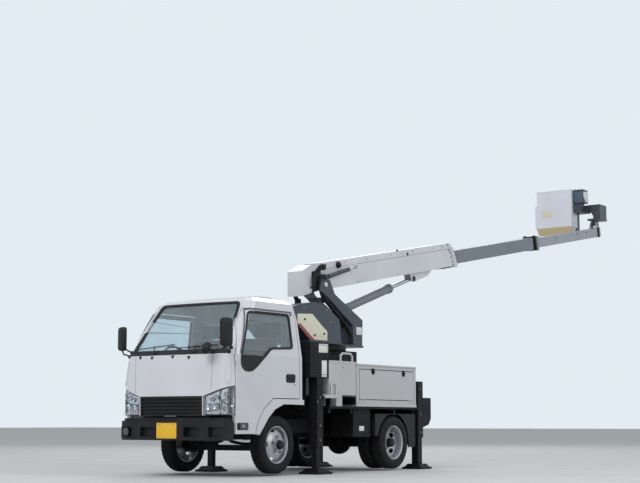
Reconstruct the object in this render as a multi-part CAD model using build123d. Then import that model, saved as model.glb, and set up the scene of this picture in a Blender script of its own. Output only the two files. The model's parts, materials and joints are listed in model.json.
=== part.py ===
from build123d import *
import math
import os

# Truck-mounted telescopic access platform on a light cab-over chassis, standing on its jacks.
# Millimetres. X to the vehicle's left, Y to its rear, Z up from the ground.
# The origin is on the ground, on the centre plane, under the front axle.

os.makedirs("parts", exist_ok=True)

# Running clearances
PIN_GAP = 0.3          # radial, between a pin and its bore
MOVE_GAP = 10          # between a moving panel and its frame
RING_GAP = 3           # under the turntable

# Wheels and axles
WHEELBASE = 2500
TYRE_R = 350
GROUND_GAP = 20        # tyre to ground while the jacks carry the truck
HUB_Z = TYRE_R + GROUND_GAP
TYRE_W = 185
RIM_R = 225            # flange outer radius
SEAT_R = 214           # tyre bead seat radius
RIM_W = 150
RIM_WALL = 7
DISC_T = 8
HUB_R = 72
HAND_HOLES = 5
HAND_HOLE_R = 20
HAND_HOLE_PCR = 178
FRONT_TRACK = 1400
REAR_TRACK = 1420
TWIN_PITCH = 215
KINGPIN_X = 590
KINGPIN_R = 22
KNUCKLE_H = 200
AXLE_W = 70
AXLE_TUBE_R = 62
DIFF_R = 165

# Chassis frame
RAIL_X = 350           # outer face of a side rail
RAIL_W = 60
RAIL_H = 175
RAIL_TOP = 680
FRAME_FRONT = -900
FRAME_REAR = WHEELBASE + 920
HORN_REACH = 85        # bumper horns ahead of the rails
CROSS_T = 60
SPRING_DROP = 25       # spring eye below the rail
SPRING_EYE_R = 16
CROSS_H = 68
CROSS_YS = (-860, 900, 1500, WHEELBASE - 450, WHEELBASE + 450, WHEELBASE + 860)
CAB_MOUNTS = (-530, 330)    # posts under the cab floor
FRONT_SPAN = 1000      # leaf springs, eye to eye
REAR_SPAN = 1100

# Driveline
SHAFT_Z = 575          # propeller shaft at the gearbox
NOSE_Z = 400           # propeller shaft at the rear axle
NOSE_REACH = 230       # rear axle's nose ahead of the axle
GEARBOX_END = 710
EXHAUST_X = -500
EXHAUST_Z = 500
EXHAUST_FRONT = 840
EXHAUST_REAR = WHEELBASE - 520
CAN_FRONT = 1000
CAN_REAR = 1560
CAN_R = 95
PIPE_R = 30

# Cab
CAB_HALF = 847.5
CAB_REAR = 421
CAB_WALL = 45
SIDE_WALL = 50         # doors and cab sides
FLOOR_Z = 860          # underside of the cab floor
FLOOR_T = 40
SKIRT_Z = 500          # bottom of the cab sides ahead of the wheels
GLASS_T = 6
GLASS_INSET = 12
TILT_Y = -1040         # axis that the cab tilts about
TILT_Z = 640
TILT_PIN_R = 14
# plan sections of the cab, from the skirt up: height, front at centre, front at corner arc start,
# half width, corner radius, rear
CAB_SECTIONS = (
    (470, -1068, -1045, CAB_HALF, 190, CAB_REAR),
    (945, -1082, -1058, CAB_HALF, 190, CAB_REAR),
    (1430, -1010, -978, CAB_HALF, 180, CAB_REAR - 6),
    (1900, -683, -645, 788, 137, CAB_REAR - 36),
    (2085, -554, -514, 765, 120, CAB_REAR - 106),
    (2135, -450, -420, 680, 90, CAB_REAR - 171),
)
HUMP_Z = 2185          # raised rear part of the roof
HUMP_X = 600
HUMP_FRONT = -60
HUMP_REAR = CAB_REAR - 181
# door outline in side view: rear foot, arch, front foot, front pillar, top, rear edge
DOOR_EDGE = ((358, 930), (-175, 930), (-362, 806), (-478, 655), (-528, 505), (-895, 505), (-895, 1405),
             (-625, 1985), (290, 1985), (340, 1940), (355, 1530))
DOOR_GLASS = ((238, 1538), (-205, 1518), (-500, 1300), (-600, 1240), (-735, 1240), (-805, 1300),
              (-806, 1420), (-560, 1952), (225, 1955))
DASH_HALF = 735
DOOR_AXIS_X = 838
DOOR_AXIS_Y = -885
DOOR_HINGES = (1010, 1290)
HINGE_L = 60
HINGE_R = 11
# wheel arch, and the outer edge of the lip round it, in side view from the front foot to the rear
ARCH_EDGE = ((-463, 492), (-290, 688), (-157, 794), (24, 857), (442, 853))
FLARE_EDGE = ((-516, 505), (-465, 647), (-356, 792), (-180, 910), (442, 914))
FLARE_OUT = 14
SCREEN_BOTTOM = (728, 1485)     # half width and height of the windscreen's lower corners
SCREEN_TOP = (605, 2070)
REAR_WINDOW = (560, 1500, 1880)

# Front of the cab
BUMPER_TOP = 660
BUMPER_BOTTOM = 430
BUMPER_FRONT = -1105
BUMPER_T = 70
BUMPER_HALF = 840
BUMPER_REAR = -930
BUMPER_CORNER = 135
BUMPER_BOW = 30        # the middle ahead of the corners
BUMPER_SLOTS = ((240, 440), (595, 790))     # recesses, along X
BUMPER_SLOT_Z = (472, 582)
BUMPER_SLOT_D = 60
PLATE_X = (-201, 125)  # recess of the number plate
PLATE_Z = (448, 638)
PLATE_D = 13
STEP_IN = 33           # low upright strip on the bumper, set back from its face
STEP_T = 32
STEP_H = 30
GRILLE_HALF = 480
GRILLE_TOP = 945
GRILLE_BOTTOM = 712
GRILLE_BARS = 5
GRILLE_BAR_H = 26
LAMP_IN = 495
LAMP_OUT = 835
LAMP_LOW = 718

# Body
SUB_TOP = 815
SUB_FRONT = 800
SUB_W = 60
DECK_T = 30
DECK_FRONT = 950
DECK_REAR = FRAME_REAR - 20
BODY_HALF = 900
SUB_BEAMS = (1000, 1500, WHEELBASE + 60, WHEELBASE + 560)
BOX_IN = 450
BOX_WALL = 20
TOOLBOX_FRONT = 1566
TOOLBOX_REAR = WHEELBASE + 568
TOOLBOX_TOP = 1396
SIDEBOX_FRONT = 930
SIDEBOX_REAR = 1552
SIDEBOX_BOTTOM = 985
SIDEBOX_TOP = 1395
SIDEBOX_LID = 25
SIDEBOX_FOOT = (1093, 1230)
HATCH_EDGE = 60        # frame left round the toolbox door
HATCH_LIP = 85         # rail under the toolbox door
HATCH_T = 24
HATCH_PROUD = 4        # door's face ahead of the box
HATCH_HINGES = (TOOLBOX_FRONT + 150, TOOLBOX_REAR - 152)
HATCH_HINGE_R = 6
TANK_LOW = 450
TANK_TOP = 745
TANK_X = (620, 840)
TANK_REAR = WHEELBASE - 540
TANK_L = 1000
BATTERY_X = (500, 850)
BATTERY_REAR = WHEELBASE - 530
BATTERY_L = 410
BATTERY_TOP = SUB_TOP - 3
BRACE_W = 60
GUARD_IN = 430
GUARD_T = 12
GUARD_SET = 18         # valance inside the body's side
GUARD_FRONT = WHEELBASE - 460
GUARD_REAR = WHEELBASE + 572
GUARD_TOP = SUB_TOP - 62
GUARD_LOW = (465, 303) # valance's lower edge ahead of and behind the wheel
GUARD_NIP = 30         # its rear corner, cut back over the raised jack pad
GUARD_GAP = 45         # wheel opening round the tyre
FLAP_Y = WHEELBASE + 485
FLAP_LOW = 330
HOOP_R = 13
HOOP_FRONT = 1240
HOOP_REAR = 1510
HOOP_TOP = 1535

# Jacks
FRONT_JACK_Y = 735
REAR_JACK_Y = WHEELBASE + 690
SLEEVE = 130           # outer square tube
JACK_X = BODY_HALF - SLEEVE / 2
SLEEVE_WALL = 10
FRONT_LEG = 76
REAR_LEG = 104
LEG_GAP = 2
FRONT_SLEEVE = (345, 1420)
REAR_SLEEVE = (430, 1205)
JACK_STROKE = 260
LEG_SPARE = (90, 75)   # room over a raised leg, front and rear
PAD = 300
PAD_T = 28
PAD_NECK = 190
PAD_H = 72
BEAM_H = 130
BEAM_HALF = 60
TAIL_PLATE = (570, 980)
TAIL_REAR = FRAME_REAR + 54
TAIL_BEAM = (FRAME_REAR, FRAME_REAR + 50)
TAIL_Z = (640, 790)
TAIL_LAMP_X = (540, 770)
TAIL_LAMP_T = 29
CABINET_FRONT = 520
CABINET_REAR = 925
CABINET_BOTTOM = 1200
CABINET_TOP = 1640
CABINET_IN = 560

# Turntable
SLEW_Y = 1950
PEDESTAL_X = 300
PEDESTAL_FRONT = 1400
PEDESTAL_REAR = 2490
DRUM_R = 400
DRUM_Z = 1605
RING_TOP = 1675
SPIGOT_R = 160
TURNTABLE_T = 30
TURNTABLE_Z = RING_TOP + RING_GAP
TURRET_BASE = TURNTABLE_Z + TURNTABLE_T
CHEEK_IN = 148
CHEEK_T = 34
CHEEK_FOOT = 2575      # front of the cheeks on the base plate
CHEEK_REAR = CHEEK_FOOT + 240
CHEEK_LOW = ((1982, 2323), (2581, 1981))    # the cheeks' slanting lower edge
CHEEK = ((CHEEK_FOOT, TURRET_BASE), (CHEEK_REAR, TURRET_BASE), (2825, 2066), (2130, 2385), (2010, 2570),
         (1810, 2585), (1770, 2420), *CHEEK_LOW)
WEB_T = 15
WEB_SLOT = (2055, 2515)     # opening in the lower web for the lift cylinder
BASE_FRONT = 1200      # turntable plate
BASE_WIDE_REAR = 1930
BASE_NARROW = 200
COVER_HALF = 420
COVER_WALL = 12
COVER = ((1190, TURRET_BASE), (1930, TURRET_BASE), (1905, 1930), (1872, 2019), (1614, 2150),
         (1334, 2210), (970, 2160), (800, 2112), (805, 2060), (900, 1905))
COVER_SLOT = 175       # half width of the channel that the boom's foot swings through
POST_EAR = ((1810, 2560), (2010, 2560), (1900, 2640), (1840, 2640))
COVER_SLOT_Z = 1960

# Boom, in its own frame: S along the boom from the foot pin, T square to it, upwards
FOOT_Y = 1900
FOOT_Z = 2500
ELEVATION = 10.3
FOOT_PIN_R = 32
BASE_HALF = 125
BASE_LOW = -70
BASE_SEAM = 205
BASE_HIGH = 300
BASE_START = -262
TRAY_START = -10
MOUTH_TOP = (3709, 234)     # slanting end of the base section, S and T
MOUTH_LOW = (3819, -92)
NOSE_TOP = 3670
BASE_WALL = 8
TRAY_WALL = 5
# counterweight box at the boom's foot, S and T: low front, top front, top rear, low rear
FOOT_BOX = ((-488, -101), (-430, 229), (-204, 296), (-272, -84))
MID_HALF = 100
MID_LOW = -45
MID_HIGH = 165
MID_STROKE = 2900
MID_REST = -50         # its foot when drawn in
MID_START = MID_REST + MID_STROKE
MID_END = 6800
MID_WALL = 7
OUTER_HALF = 78
OUTER_LOW = -25
OUTER_HIGH = 147
OUTER_STROKE = 2600
OUTER_REST = 500
OUTER_START = OUTER_REST + MID_STROKE + OUTER_STROKE
OUTER_END = 9750
OUTER_WALL = 6
COLLAR = 22            # thickness of the mouth collars
COLLAR_L = 75

# Lift cylinder
LIFT_FOOT = (2100, 2060)
LIFT_EYE = (2560, -158)   # on the boom, S and T
LIFT_BARREL_R = 62
LIFT_ROD_R = 30
LIFT_BARREL_L = 1820
LIFT_PIN_R = 28
LIFT_EYE_R = 34
LIFT_EYE_W = 60
LIFT_EAR_GAP = 45
LIFT_EAR_T = 16
LIFT_GAP = 13          # round the barrel in the lower web's opening

# Levelling cylinder on the left of the boom's foot
LEVEL_FOOT = (-16, 101)
LEVEL_EYE = (733, 177)
LEVEL_X = 222
LEVEL_BARREL_R = 32
LEVEL_ROD_R = 14
LEVEL_BARREL_L = 560
LEVEL_PIN_R = 10
LEVEL_DRIFT = 14       # play of the rod's eye on its pin

# Boom tip and bucket
TIP_PIN = (9670, 226)
TIP_PIN_R = 20
TIP_EAR_IN = 50
TIP_EAR_T = 18
TIP_PLATE = (4525, 4557)    # swing bearing plate, low and high
HOUSE_X = (-117, 143)
HOUSE_FRONT = 11330
HOUSE_REAR = 11640
HOUSE_LOW = TIP_PLATE[1] + RING_GAP
HOUSE_HIGH = 4825
HOUSE_CUT = (150, 215)      # chamfer of its lower right corner, across and up
SWING_PIN_R = 45
SWING_Y = 11490
BUCKET_IN = -300
BUCKET_OUT = -1070
BUCKET_FRONT = 11000
BUCKET_REAR = 11700
BUCKET_TOP = 5120
BUCKET_STEP_Z = 4845   # the right end is set in above this height
BUCKET_STEP = 40
BUCKET_CHAMFER_Z = 4400
BUCKET_BOTTOM = 4255
BUCKET_CHAMFER = 130
BUCKET_WALL = 22
NOTCH_X = 220
NOTCH_FRONT = 11260
ARM_GAP = 12           # arm to the bucket's side
ARM_Z = (4665, 4810)
ARM_Y = (11070, 11400)
ARM_SIDE = -125
POST_X = (-400, -310)  # hanging post in the bucket's recess
POST_REAR = 11385
POST_LOW = 4350
CONTROL_X = (-290, -75)     # control box
CONTROL_Y = (11060, 11270)
CONTROL_Z = (4840, 5100)


def block(x0, x1, y0, y1, z0, z1):
    size = (x1 - x0, y1 - y0, z1 - z0)
    return Pos((x0 + x1) / 2, (y0 + y1) / 2, (z0 + z1) / 2) * Box(*size)


def side_prism(points, x0, x1):
    """A side-view outline of (y, z) points, carried from x0 to x1."""
    face = make_face(Polyline(*[(0, y, z) for y, z in points], close=True))
    return Pos(x0, 0, 0) * extrude(face, amount=x1 - x0, dir=(1, 0, 0))


def front_prism(points, y0, y1):
    """A front-view outline of (x, z) points, carried from y0 to y1."""
    face = make_face(Polyline(*[(x, 0, z) for x, z in points], close=True))
    return Pos(0, y0, 0) * extrude(face, amount=y1 - y0, dir=(0, 1, 0))


def plan_prism(points, z0, z1):
    """A plan outline of (x, y) points, carried from z0 to z1."""
    face = make_face(Polyline(*[(x, y, 0) for x, y in points], close=True))
    return Pos(0, 0, z0) * extrude(face, amount=z1 - z0, dir=(0, 0, 1))


def bar(start, end, radius):
    """A round bar between two points."""
    a = Vector(*start)
    b = Vector(*end)
    length = (b - a).length
    plane = Plane(origin=(a + b) / 2, z_dir=b - a)
    return plane * Cylinder(radius, length)


def mirrored(shape):
    return mirror(shape, about=Plane.YZ)


def both(shape):
    return Compound([shape, mirrored(shape)])


def save(shape, node):
    shape.label = node
    export_step(shape, f"parts/{node}.step")


def ring_solid(profile, x):
    """Turns (offset along X, radius) points about the wheel axis and moves them to x."""
    face = make_face(Polyline(*[(u, r, 0) for u, r in profile], close=True))
    return Pos(x, 0, 0) * revolve(face, axis=Axis.X)


# Wheels

def tyre(x):
    half = TYRE_W / 2
    bead = RIM_W / 2 - 8
    one = ((bead, SEAT_R), (bead, RIM_R + 1), (half - 6, RIM_R + 14), (half, TYRE_R - 75),
           (half - 10, TYRE_R - 25), (half - 28, TYRE_R))
    profile = tuple((-u, r) for u, r in one) + tuple(reversed(one))
    return ring_solid(profile, x)


def rim_barrel(x):
    half = RIM_W / 2
    outer = ((-half, RIM_R), (-half + 7, RIM_R), (-half + 8, SEAT_R), (half - 8, SEAT_R),
             (half - 7, RIM_R), (half, RIM_R))
    inner = ((half, RIM_R - RIM_WALL), (half - 14, SEAT_R - RIM_WALL),
             (-half + 14, SEAT_R - RIM_WALL), (-half, RIM_R - RIM_WALL))
    return ring_solid(outer + inner, x)


def dish(x, root, face):
    """The wheel disc: root and face are offsets of its rim joint and of its hub face."""
    r_root = SEAT_R - RIM_WALL
    step = (face - root) * 0.62
    front = ((root, r_root + 1), (root + step, r_root - 38), (face, 118), (face, HUB_R - 20))
    back = tuple((u - DISC_T, r) for u, r in reversed(front))
    return ring_solid(front + back, x)


def hand_holes(x, root, face):
    """Oval hand holes round the disc."""
    low = min(root, face) - 60
    high = max(root, face) + 60
    holes = []
    for i in range(HAND_HOLES):
        angle = 105 + 360 / HAND_HOLES * i
        pair = [bar((low, d, HAND_HOLE_PCR), (high, d, HAND_HOLE_PCR), HAND_HOLE_R) for d in (-15, 15)]
        slot = pair[0] + pair[1] + block(low, high, -15, 15, HAND_HOLE_PCR - HAND_HOLE_R,
                                         HAND_HOLE_PCR + HAND_HOLE_R)
        holes.append(Pos(x, 0, 0) * Rot(angle - 90, 0, 0) * slot)
    return holes


def front_wheel():
    x = FRONT_TRACK / 2
    face = RIM_W / 2 - 2
    rim = rim_barrel(x) + dish(x, 8, face)
    rim = rim.cut(*hand_holes(x, 8, face))
    hub = bar((x + face - 70, 0, 0), (x + face + 34, 0, 0), HUB_R)
    spindle = bar((x - 60, 0, 0), (x + face - 8, 0, 0), 34)
    rim = rim + hub - spindle
    return Pos(0, 0, HUB_Z) * tyre(x), Pos(0, 0, HUB_Z) * rim


def rear_wheels():
    middle = REAR_TRACK / 2
    face = TWIN_PITCH / 2 - 1
    tyres = []
    rims = None
    for side in (1, -1):
        x = middle + side * TWIN_PITCH / 2
        tyres.append(tyre(x))
        local = dish(0, -30, -face)
        local = rim_barrel(0) + local
        local = local.cut(*hand_holes(0, -30, -face))
        if side < 0:
            local = mirrored(local)
        local = Pos(x, 0, 0) * local
        rims = local if rims is None else rims + local
    hub = bar((middle - 60, 0, 0), (middle + 95, 0, 0), HUB_R)
    flange = bar((middle - 18, 0, 0), (middle + 18, 0, 0), 120)
    socket = bar((middle - 80, 0, 0), (middle + 40, 0, 0), 40)
    rims = rims + hub + flange - socket
    move = Pos(0, WHEELBASE, HUB_Z)
    return move * Compound(tyres), move * rims


# Axles and frame

def knuckle():
    """Steering knuckle: spindle, kingpin boss and two yoke ears round the axle end."""
    face = FRONT_TRACK / 2 + RIM_W / 2 - 2
    spindle = bar((KINGPIN_X + 42, 0, HUB_Z), (face - 20, 0, HUB_Z), 34 - PIN_GAP)
    plate = bar((KINGPIN_X + 41, 0, HUB_Z), (KINGPIN_X + 56, 0, HUB_Z), 85)
    web = block(KINGPIN_X - 10, KINGPIN_X + 44, -32, 32, HUB_Z - KNUCKLE_H / 2, HUB_Z + KNUCKLE_H / 2)
    jaw = block(KINGPIN_X - 80, KINGPIN_X + 41, -50, 50, HUB_Z - 62, HUB_Z + 62)
    ears = bar((KINGPIN_X, 0, HUB_Z - KNUCKLE_H / 2), (KINGPIN_X, 0, HUB_Z + KNUCKLE_H / 2), 36)
    pin = bar((KINGPIN_X, 0, HUB_Z - 70), (KINGPIN_X, 0, HUB_Z + 70), KINGPIN_R)
    arm = block(KINGPIN_X - 30, KINGPIN_X + 20, 30, 150, HUB_Z - KNUCKLE_H / 2, HUB_Z - 82)
    return (web + ears - jaw) + plate + spindle + pin + arm


def front_axle():
    beam = block(-KINGPIN_X + 45, KINGPIN_X - 45, -AXLE_W / 2, AXLE_W / 2, HUB_Z - 75, HUB_Z - 5)
    boss = bar((KINGPIN_X, 0, HUB_Z - 52), (KINGPIN_X, 0, HUB_Z + 52), 34)
    neck = block(KINGPIN_X - 70, KINGPIN_X - 15, -AXLE_W / 2, AXLE_W / 2, HUB_Z - 52, HUB_Z + 30)
    bore = bar((KINGPIN_X, 0, HUB_Z - 90), (KINGPIN_X, 0, HUB_Z + 90), KINGPIN_R + PIN_GAP)
    end = boss + neck - bore
    return beam + end + mirrored(end)


def rear_axle():
    end_x = REAR_TRACK / 2 + 39
    tube = bar((-end_x + 45, 0, 0), (end_x - 45, 0, 0), 39)
    casing = bar((-470, 0, 0), (470, 0, 0), AXLE_TUBE_R)
    bowl = Sphere(DIFF_R)
    nose = bar((0, -NOSE_REACH, NOSE_Z - HUB_Z), (0, 0, 0), 80)
    pads = both(block(RAIL_X - RAIL_W, RAIL_X, -45, 45, 0, AXLE_TUBE_R))
    return Pos(0, WHEELBASE, HUB_Z) * (tube + casing + bowl + nose + pads)


def leaf_spring(y, seat_z, span, leaves):
    """A pack of bowed leaves from eye to eye, seated on the axle at seat_z."""
    eye_z = RAIL_TOP - RAIL_H - SPRING_DROP
    half = span / 2
    pack = None
    for i in range(leaves):
        reach = half * (1 - 0.2 * i)
        low = seat_z + 10 * (leaves - 1 - i)
        bow = (eye_z - seat_z - 10 * leaves) * (reach / half) ** 2
        top = ThreePointArc((0, y - reach, low + bow + 10), (0, y, low + 10), (0, y + reach, low + bow + 10))
        bottom = ThreePointArc((0, y + reach, low + bow), (0, y, low), (0, y - reach, low + bow))
        ends = [Line(top @ 1, bottom @ 0), Line(bottom @ 1, top @ 0)]
        leaf = extrude(make_face([top, ends[0], bottom, ends[1]]), amount=60, dir=(1, 0, 0))
        pack = leaf if pack is None else pack + leaf
    eyes = [bar((0, y + e, eye_z + 5), (60, y + e, eye_z + 5), SPRING_EYE_R) for e in (-half, half)]
    pack = pack + eyes[0] + eyes[1]
    return Pos(RAIL_X - RAIL_W, 0, 0) * pack


def leaf_springs():
    front = leaf_spring(0, HUB_Z - 5, FRONT_SPAN, 3)
    rear = leaf_spring(WHEELBASE, HUB_Z + AXLE_TUBE_R, REAR_SPAN, 4)
    return Compound([front, mirrored(front), rear, mirrored(rear)])


def chassis_frame():
    rail = block(RAIL_X - RAIL_W, RAIL_X, FRAME_FRONT, FRAME_REAR, RAIL_TOP - RAIL_H, RAIL_TOP)
    hollow = block(RAIL_X - RAIL_W - 1, RAIL_X - 8, FRAME_FRONT - 1, FRAME_REAR + 1,
                   RAIL_TOP - RAIL_H + 8, RAIL_TOP - 8)
    rail = rail - hollow
    frame = rail + mirrored(rail)
    for y in CROSS_YS:
        frame = frame + block(-RAIL_X + 4, RAIL_X - 4, y - CROSS_T / 2, y + CROSS_T / 2,
                              RAIL_TOP - 6 - CROSS_H, RAIL_TOP - 6)
    eye_z = RAIL_TOP - RAIL_H - SPRING_DROP + 5
    eyes = (-FRONT_SPAN / 2, FRONT_SPAN / 2, WHEELBASE - REAR_SPAN / 2, WHEELBASE + REAR_SPAN / 2)
    for y in eyes:
        x = RAIL_X - RAIL_W
        hanger = block(x - 12, x - 1, y - 30, y + 30, eye_z - 25, RAIL_TOP - RAIL_H + 9)
        hanger = hanger + block(x - 12, x + 20, y - 30, y + 30, RAIL_TOP - RAIL_H - 3,
                                RAIL_TOP - RAIL_H + 9)
        frame = frame + hanger + mirrored(hanger)
    for y in CAB_MOUNTS:
        half = CROSS_T / 2
        post = block(RAIL_X - RAIL_W, RAIL_X, y - half, y + half, RAIL_TOP - 8, FLOOR_Z - PIN_GAP)
        frame = frame + post + mirrored(post)
    front = FRAME_FRONT - HORN_REACH
    horn = block(RAIL_X - RAIL_W, RAIL_X, front, FRAME_FRONT + 20, RAIL_TOP - RAIL_H, RAIL_TOP - 60)
    horn = horn + block(RAIL_X - RAIL_W + 8, RAIL_X - 8, TILT_Y, front + 30, TILT_Z - 12, TILT_Z + 12)
    horn = horn + block(RAIL_X - RAIL_W + 8, RAIL_X - 8, front, front + 30, RAIL_TOP - 61, TILT_Z + 12)
    pin = bar((RAIL_X - RAIL_W, TILT_Y, TILT_Z), (RAIL_X, TILT_Y, TILT_Z), TILT_PIN_R)
    horn = horn + pin
    return frame + horn + mirrored(horn)


def engine_block():
    engine = block(-250, 250, -620, 300, 430, 800)
    gearbox = block(-150, 150, 300, 640, 470, 700)
    tail = bar((0, 600, SHAFT_Z + 10), (0, GEARBOX_END, SHAFT_Z + 10), 90)
    return engine + gearbox + tail


def prop_shaft():
    """Shaft from the gearbox to the rear axle's nose, with a joint at each end."""
    start = Vector(0, GEARBOX_END + 12, SHAFT_Z)
    end = Vector(0, WHEELBASE - NOSE_REACH - 8, NOSE_Z)
    along = (end - start).normalized()
    shaft = bar(tuple(start + along * 20), tuple(end - along * 20), 38)
    for a, b in ((start, start + along * 36), (end - along * 30, end)):
        shaft = shaft + bar(tuple(a), tuple(b), 60)
    return shaft


def exhaust():
    """Silencer on the right of the frame, with its pipes and one strap."""
    can = bar((EXHAUST_X, CAN_FRONT, EXHAUST_Z), (EXHAUST_X, CAN_REAR, EXHAUST_Z), CAN_R)
    pipe = bar((EXHAUST_X, EXHAUST_FRONT, EXHAUST_Z), (EXHAUST_X, EXHAUST_REAR, EXHAUST_Z), PIPE_R)
    middle = (CAN_FRONT + CAN_REAR) / 2
    low = EXHAUST_Z + CAN_R - 5
    strap = block(EXHAUST_X - 20, -RAIL_X, middle - 25, middle + 25, low, low + 20)
    return can + pipe + strap


# Cab

def cab_section(z, front, corner, half, radius, rear, inset):
    """One plan outline of the cab: bowed front, rounded front corners, straight sides and back."""
    f = front + inset
    c = corner + inset
    w = half - inset
    r = max(radius - inset, 20)
    b = rear
    dx = w - r
    mid = math.sqrt(0.5)
    bow = ThreePointArc((dx, c, z), (0, f, z), (-dx, c, z))
    left = ThreePointArc((-dx, c, z), (-dx - r * mid, c + r * (1 - mid), z), (-w, c + r, z))
    right = ThreePointArc((w, c + r, z), (dx + r * mid, c + r * (1 - mid), z), (dx, c, z))
    sides = [Line((-w, c + r, z), (-w, b, z)), Line((-w, b, z), (w, b, z)), Line((w, b, z), (w, c + r, z))]
    return make_face([bow, left, sides[0], sides[1], sides[2], right])


def cab_body(inset, low=None, open_rear=False):
    """The cab's outer form, or the same form set in by a wall, which may reach the rear face."""
    sections = []
    for i, (z, front, corner, half, radius, rear) in enumerate(CAB_SECTIONS):
        top = i == len(CAB_SECTIONS) - 1
        back = rear if open_rear else rear - inset
        sections.append(cab_section(z - (inset if top else 0), front, corner, half, radius, back, inset))
    body = loft(sections, ruled=True)
    if low is not None:
        body = body & block(-1000, 1000, -1300, 700, low, 2400)
    return body


def roof_hump():
    """The raised rear part of the roof, tapered to its crown."""
    half = HUMP_X
    front = HUMP_FRONT - 130
    low = Pos(0, (front + HUMP_REAR) / 2, 2080) * Rectangle(2 * half, HUMP_REAR - front)
    half = HUMP_X - 70
    rear = HUMP_REAR - 40
    high = Pos(0, (HUMP_FRONT + rear) / 2, HUMP_Z) * Rectangle(2 * half, rear - HUMP_FRONT)
    return loft([low.face(), high.face()], ruled=True)


def side_cut(points, grow, x0, x1):
    """A side-view outline changed by grow and carried from x0 to x1."""
    face = make_face(Polyline(*[(y, z) for y, z in points], close=True))
    if grow:
        face = offset(face, amount=grow, kind=Kind.INTERSECTION)
    return Plane.YZ.offset(x0) * extrude(face, amount=x1 - x0)


def screen_outline():
    bx, bz = SCREEN_BOTTOM
    tx, tz = SCREEN_TOP
    return ((-bx, bz), (bx, bz), (tx, tz), (-tx, tz))


def rear_window():
    half, low, high = REAR_WINDOW
    return block(-half, half, CAB_REAR - 150, CAB_REAR + 100, low, high)


def cab_shell():
    outer = cab_body(0) + roof_hump()
    inner = cab_body(CAB_WALL, FLOOR_Z + FLOOR_T)
    shell = outer - inner
    shell = shell - block(-1000, 1000, -1300, 700, 0, SKIRT_Z)
    well = block(-CAB_HALF + SIDE_WALL, CAB_HALF - SIDE_WALL, -1000, 700, 0, FLOOR_Z)
    shell = shell - well
    door_front = min(y for y, z in DOOR_EDGE)
    shell = shell - block(-1000, 1000, -1200, door_front - MOVE_GAP, 0, LAMP_LOW)
    arch_top = ARCH_EDGE[-1][1]
    arch_foot = ARCH_EDGE[0][0]
    shell = shell - side_prism((*ARCH_EDGE, (560, arch_top), (560, 300), (arch_foot, 300)), -1000, 1000)
    for x0, x1 in ((CAB_HALF - 180, 1000), (-1000, -CAB_HALF + 180)):
        shell = shell - side_cut(DOOR_EDGE, MOVE_GAP, x0, x1)
    shell = shell - front_prism(screen_outline(), -1300, -300)
    shell = shell - rear_window()
    shell = shell - block(-GRILLE_HALF, GRILLE_HALF, -1200, -1000, GRILLE_BOTTOM, GRILLE_TOP)
    lamp = lamp_prism(0)
    shell = shell - lamp - mirrored(lamp)
    flare = wheel_flare()
    shell = shell + flare + mirrored(flare)
    return shell


def wheel_flare():
    """The raised lip that follows the wheel arch on the cab's side."""
    return side_prism((*FLARE_EDGE, *reversed(ARCH_EDGE)), CAB_HALF - SIDE_WALL, CAB_HALF + FLARE_OUT)


def lamp_prism(grow):
    """Front-view outline of the left headlamp with its rising outer end."""
    outline = ((LAMP_IN - grow, LAMP_LOW - grow), (LAMP_OUT + 60, LAMP_LOW - grow),
               (LAMP_OUT + 60, 1085 + grow), (718, 1022 + grow), (LAMP_IN - grow, GRILLE_TOP + grow))
    return front_prism(outline, -1300, -905)


def headlamps():
    shape = (cab_body(2) - cab_body(CAB_WALL)) & lamp_prism(-3)
    return both(shape)


def cab_glass():
    glass = cab_body(GLASS_INSET) - cab_body(GLASS_INSET + GLASS_T)
    screen = glass & front_prism(screen_outline(), -1300, -300)
    return Compound([screen, glass & rear_window()])


def door():
    """One door, as thick as the cab's side, with its window cut out and two barrel hinges."""
    skin = cab_body(0) - cab_body(SIDE_WALL, open_rear=True)
    cut = side_cut(DOOR_EDGE, 0, CAB_HALF - 170, 1000)
    window = side_cut(DOOR_GLASS, 0, 0, 1000)
    panel = (skin & cut) - window
    for z in DOOR_HINGES:
        panel = panel + bar((DOOR_AXIS_X, DOOR_AXIS_Y, z), (DOOR_AXIS_X, DOOR_AXIS_Y, z + HINGE_L), HINGE_R)
    return panel


def door_glass():
    glass = cab_body(GLASS_INSET) - cab_body(GLASS_INSET + GLASS_T)
    return glass & side_cut(DOOR_GLASS, 0, CAB_HALF - 170, 1000)


def grille():
    """A slotted panel: a frame with level bars across it."""
    depth = (cab_body(0) - cab_body(CAB_WALL))
    half = GRILLE_HALF - 2
    panel = depth & block(-half, half, -1200, -1000, GRILLE_BOTTOM + 2, GRILLE_TOP - 2)
    pitch = (GRILLE_TOP - GRILLE_BOTTOM - 30) / GRILLE_BARS
    for i in range(GRILLE_BARS):
        z = GRILLE_BOTTOM + 20 + i * pitch
        panel = panel - block(-half + 25, half - 25, -1200, -1048, z, z + pitch - GRILLE_BAR_H + 8)
    return panel


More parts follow.
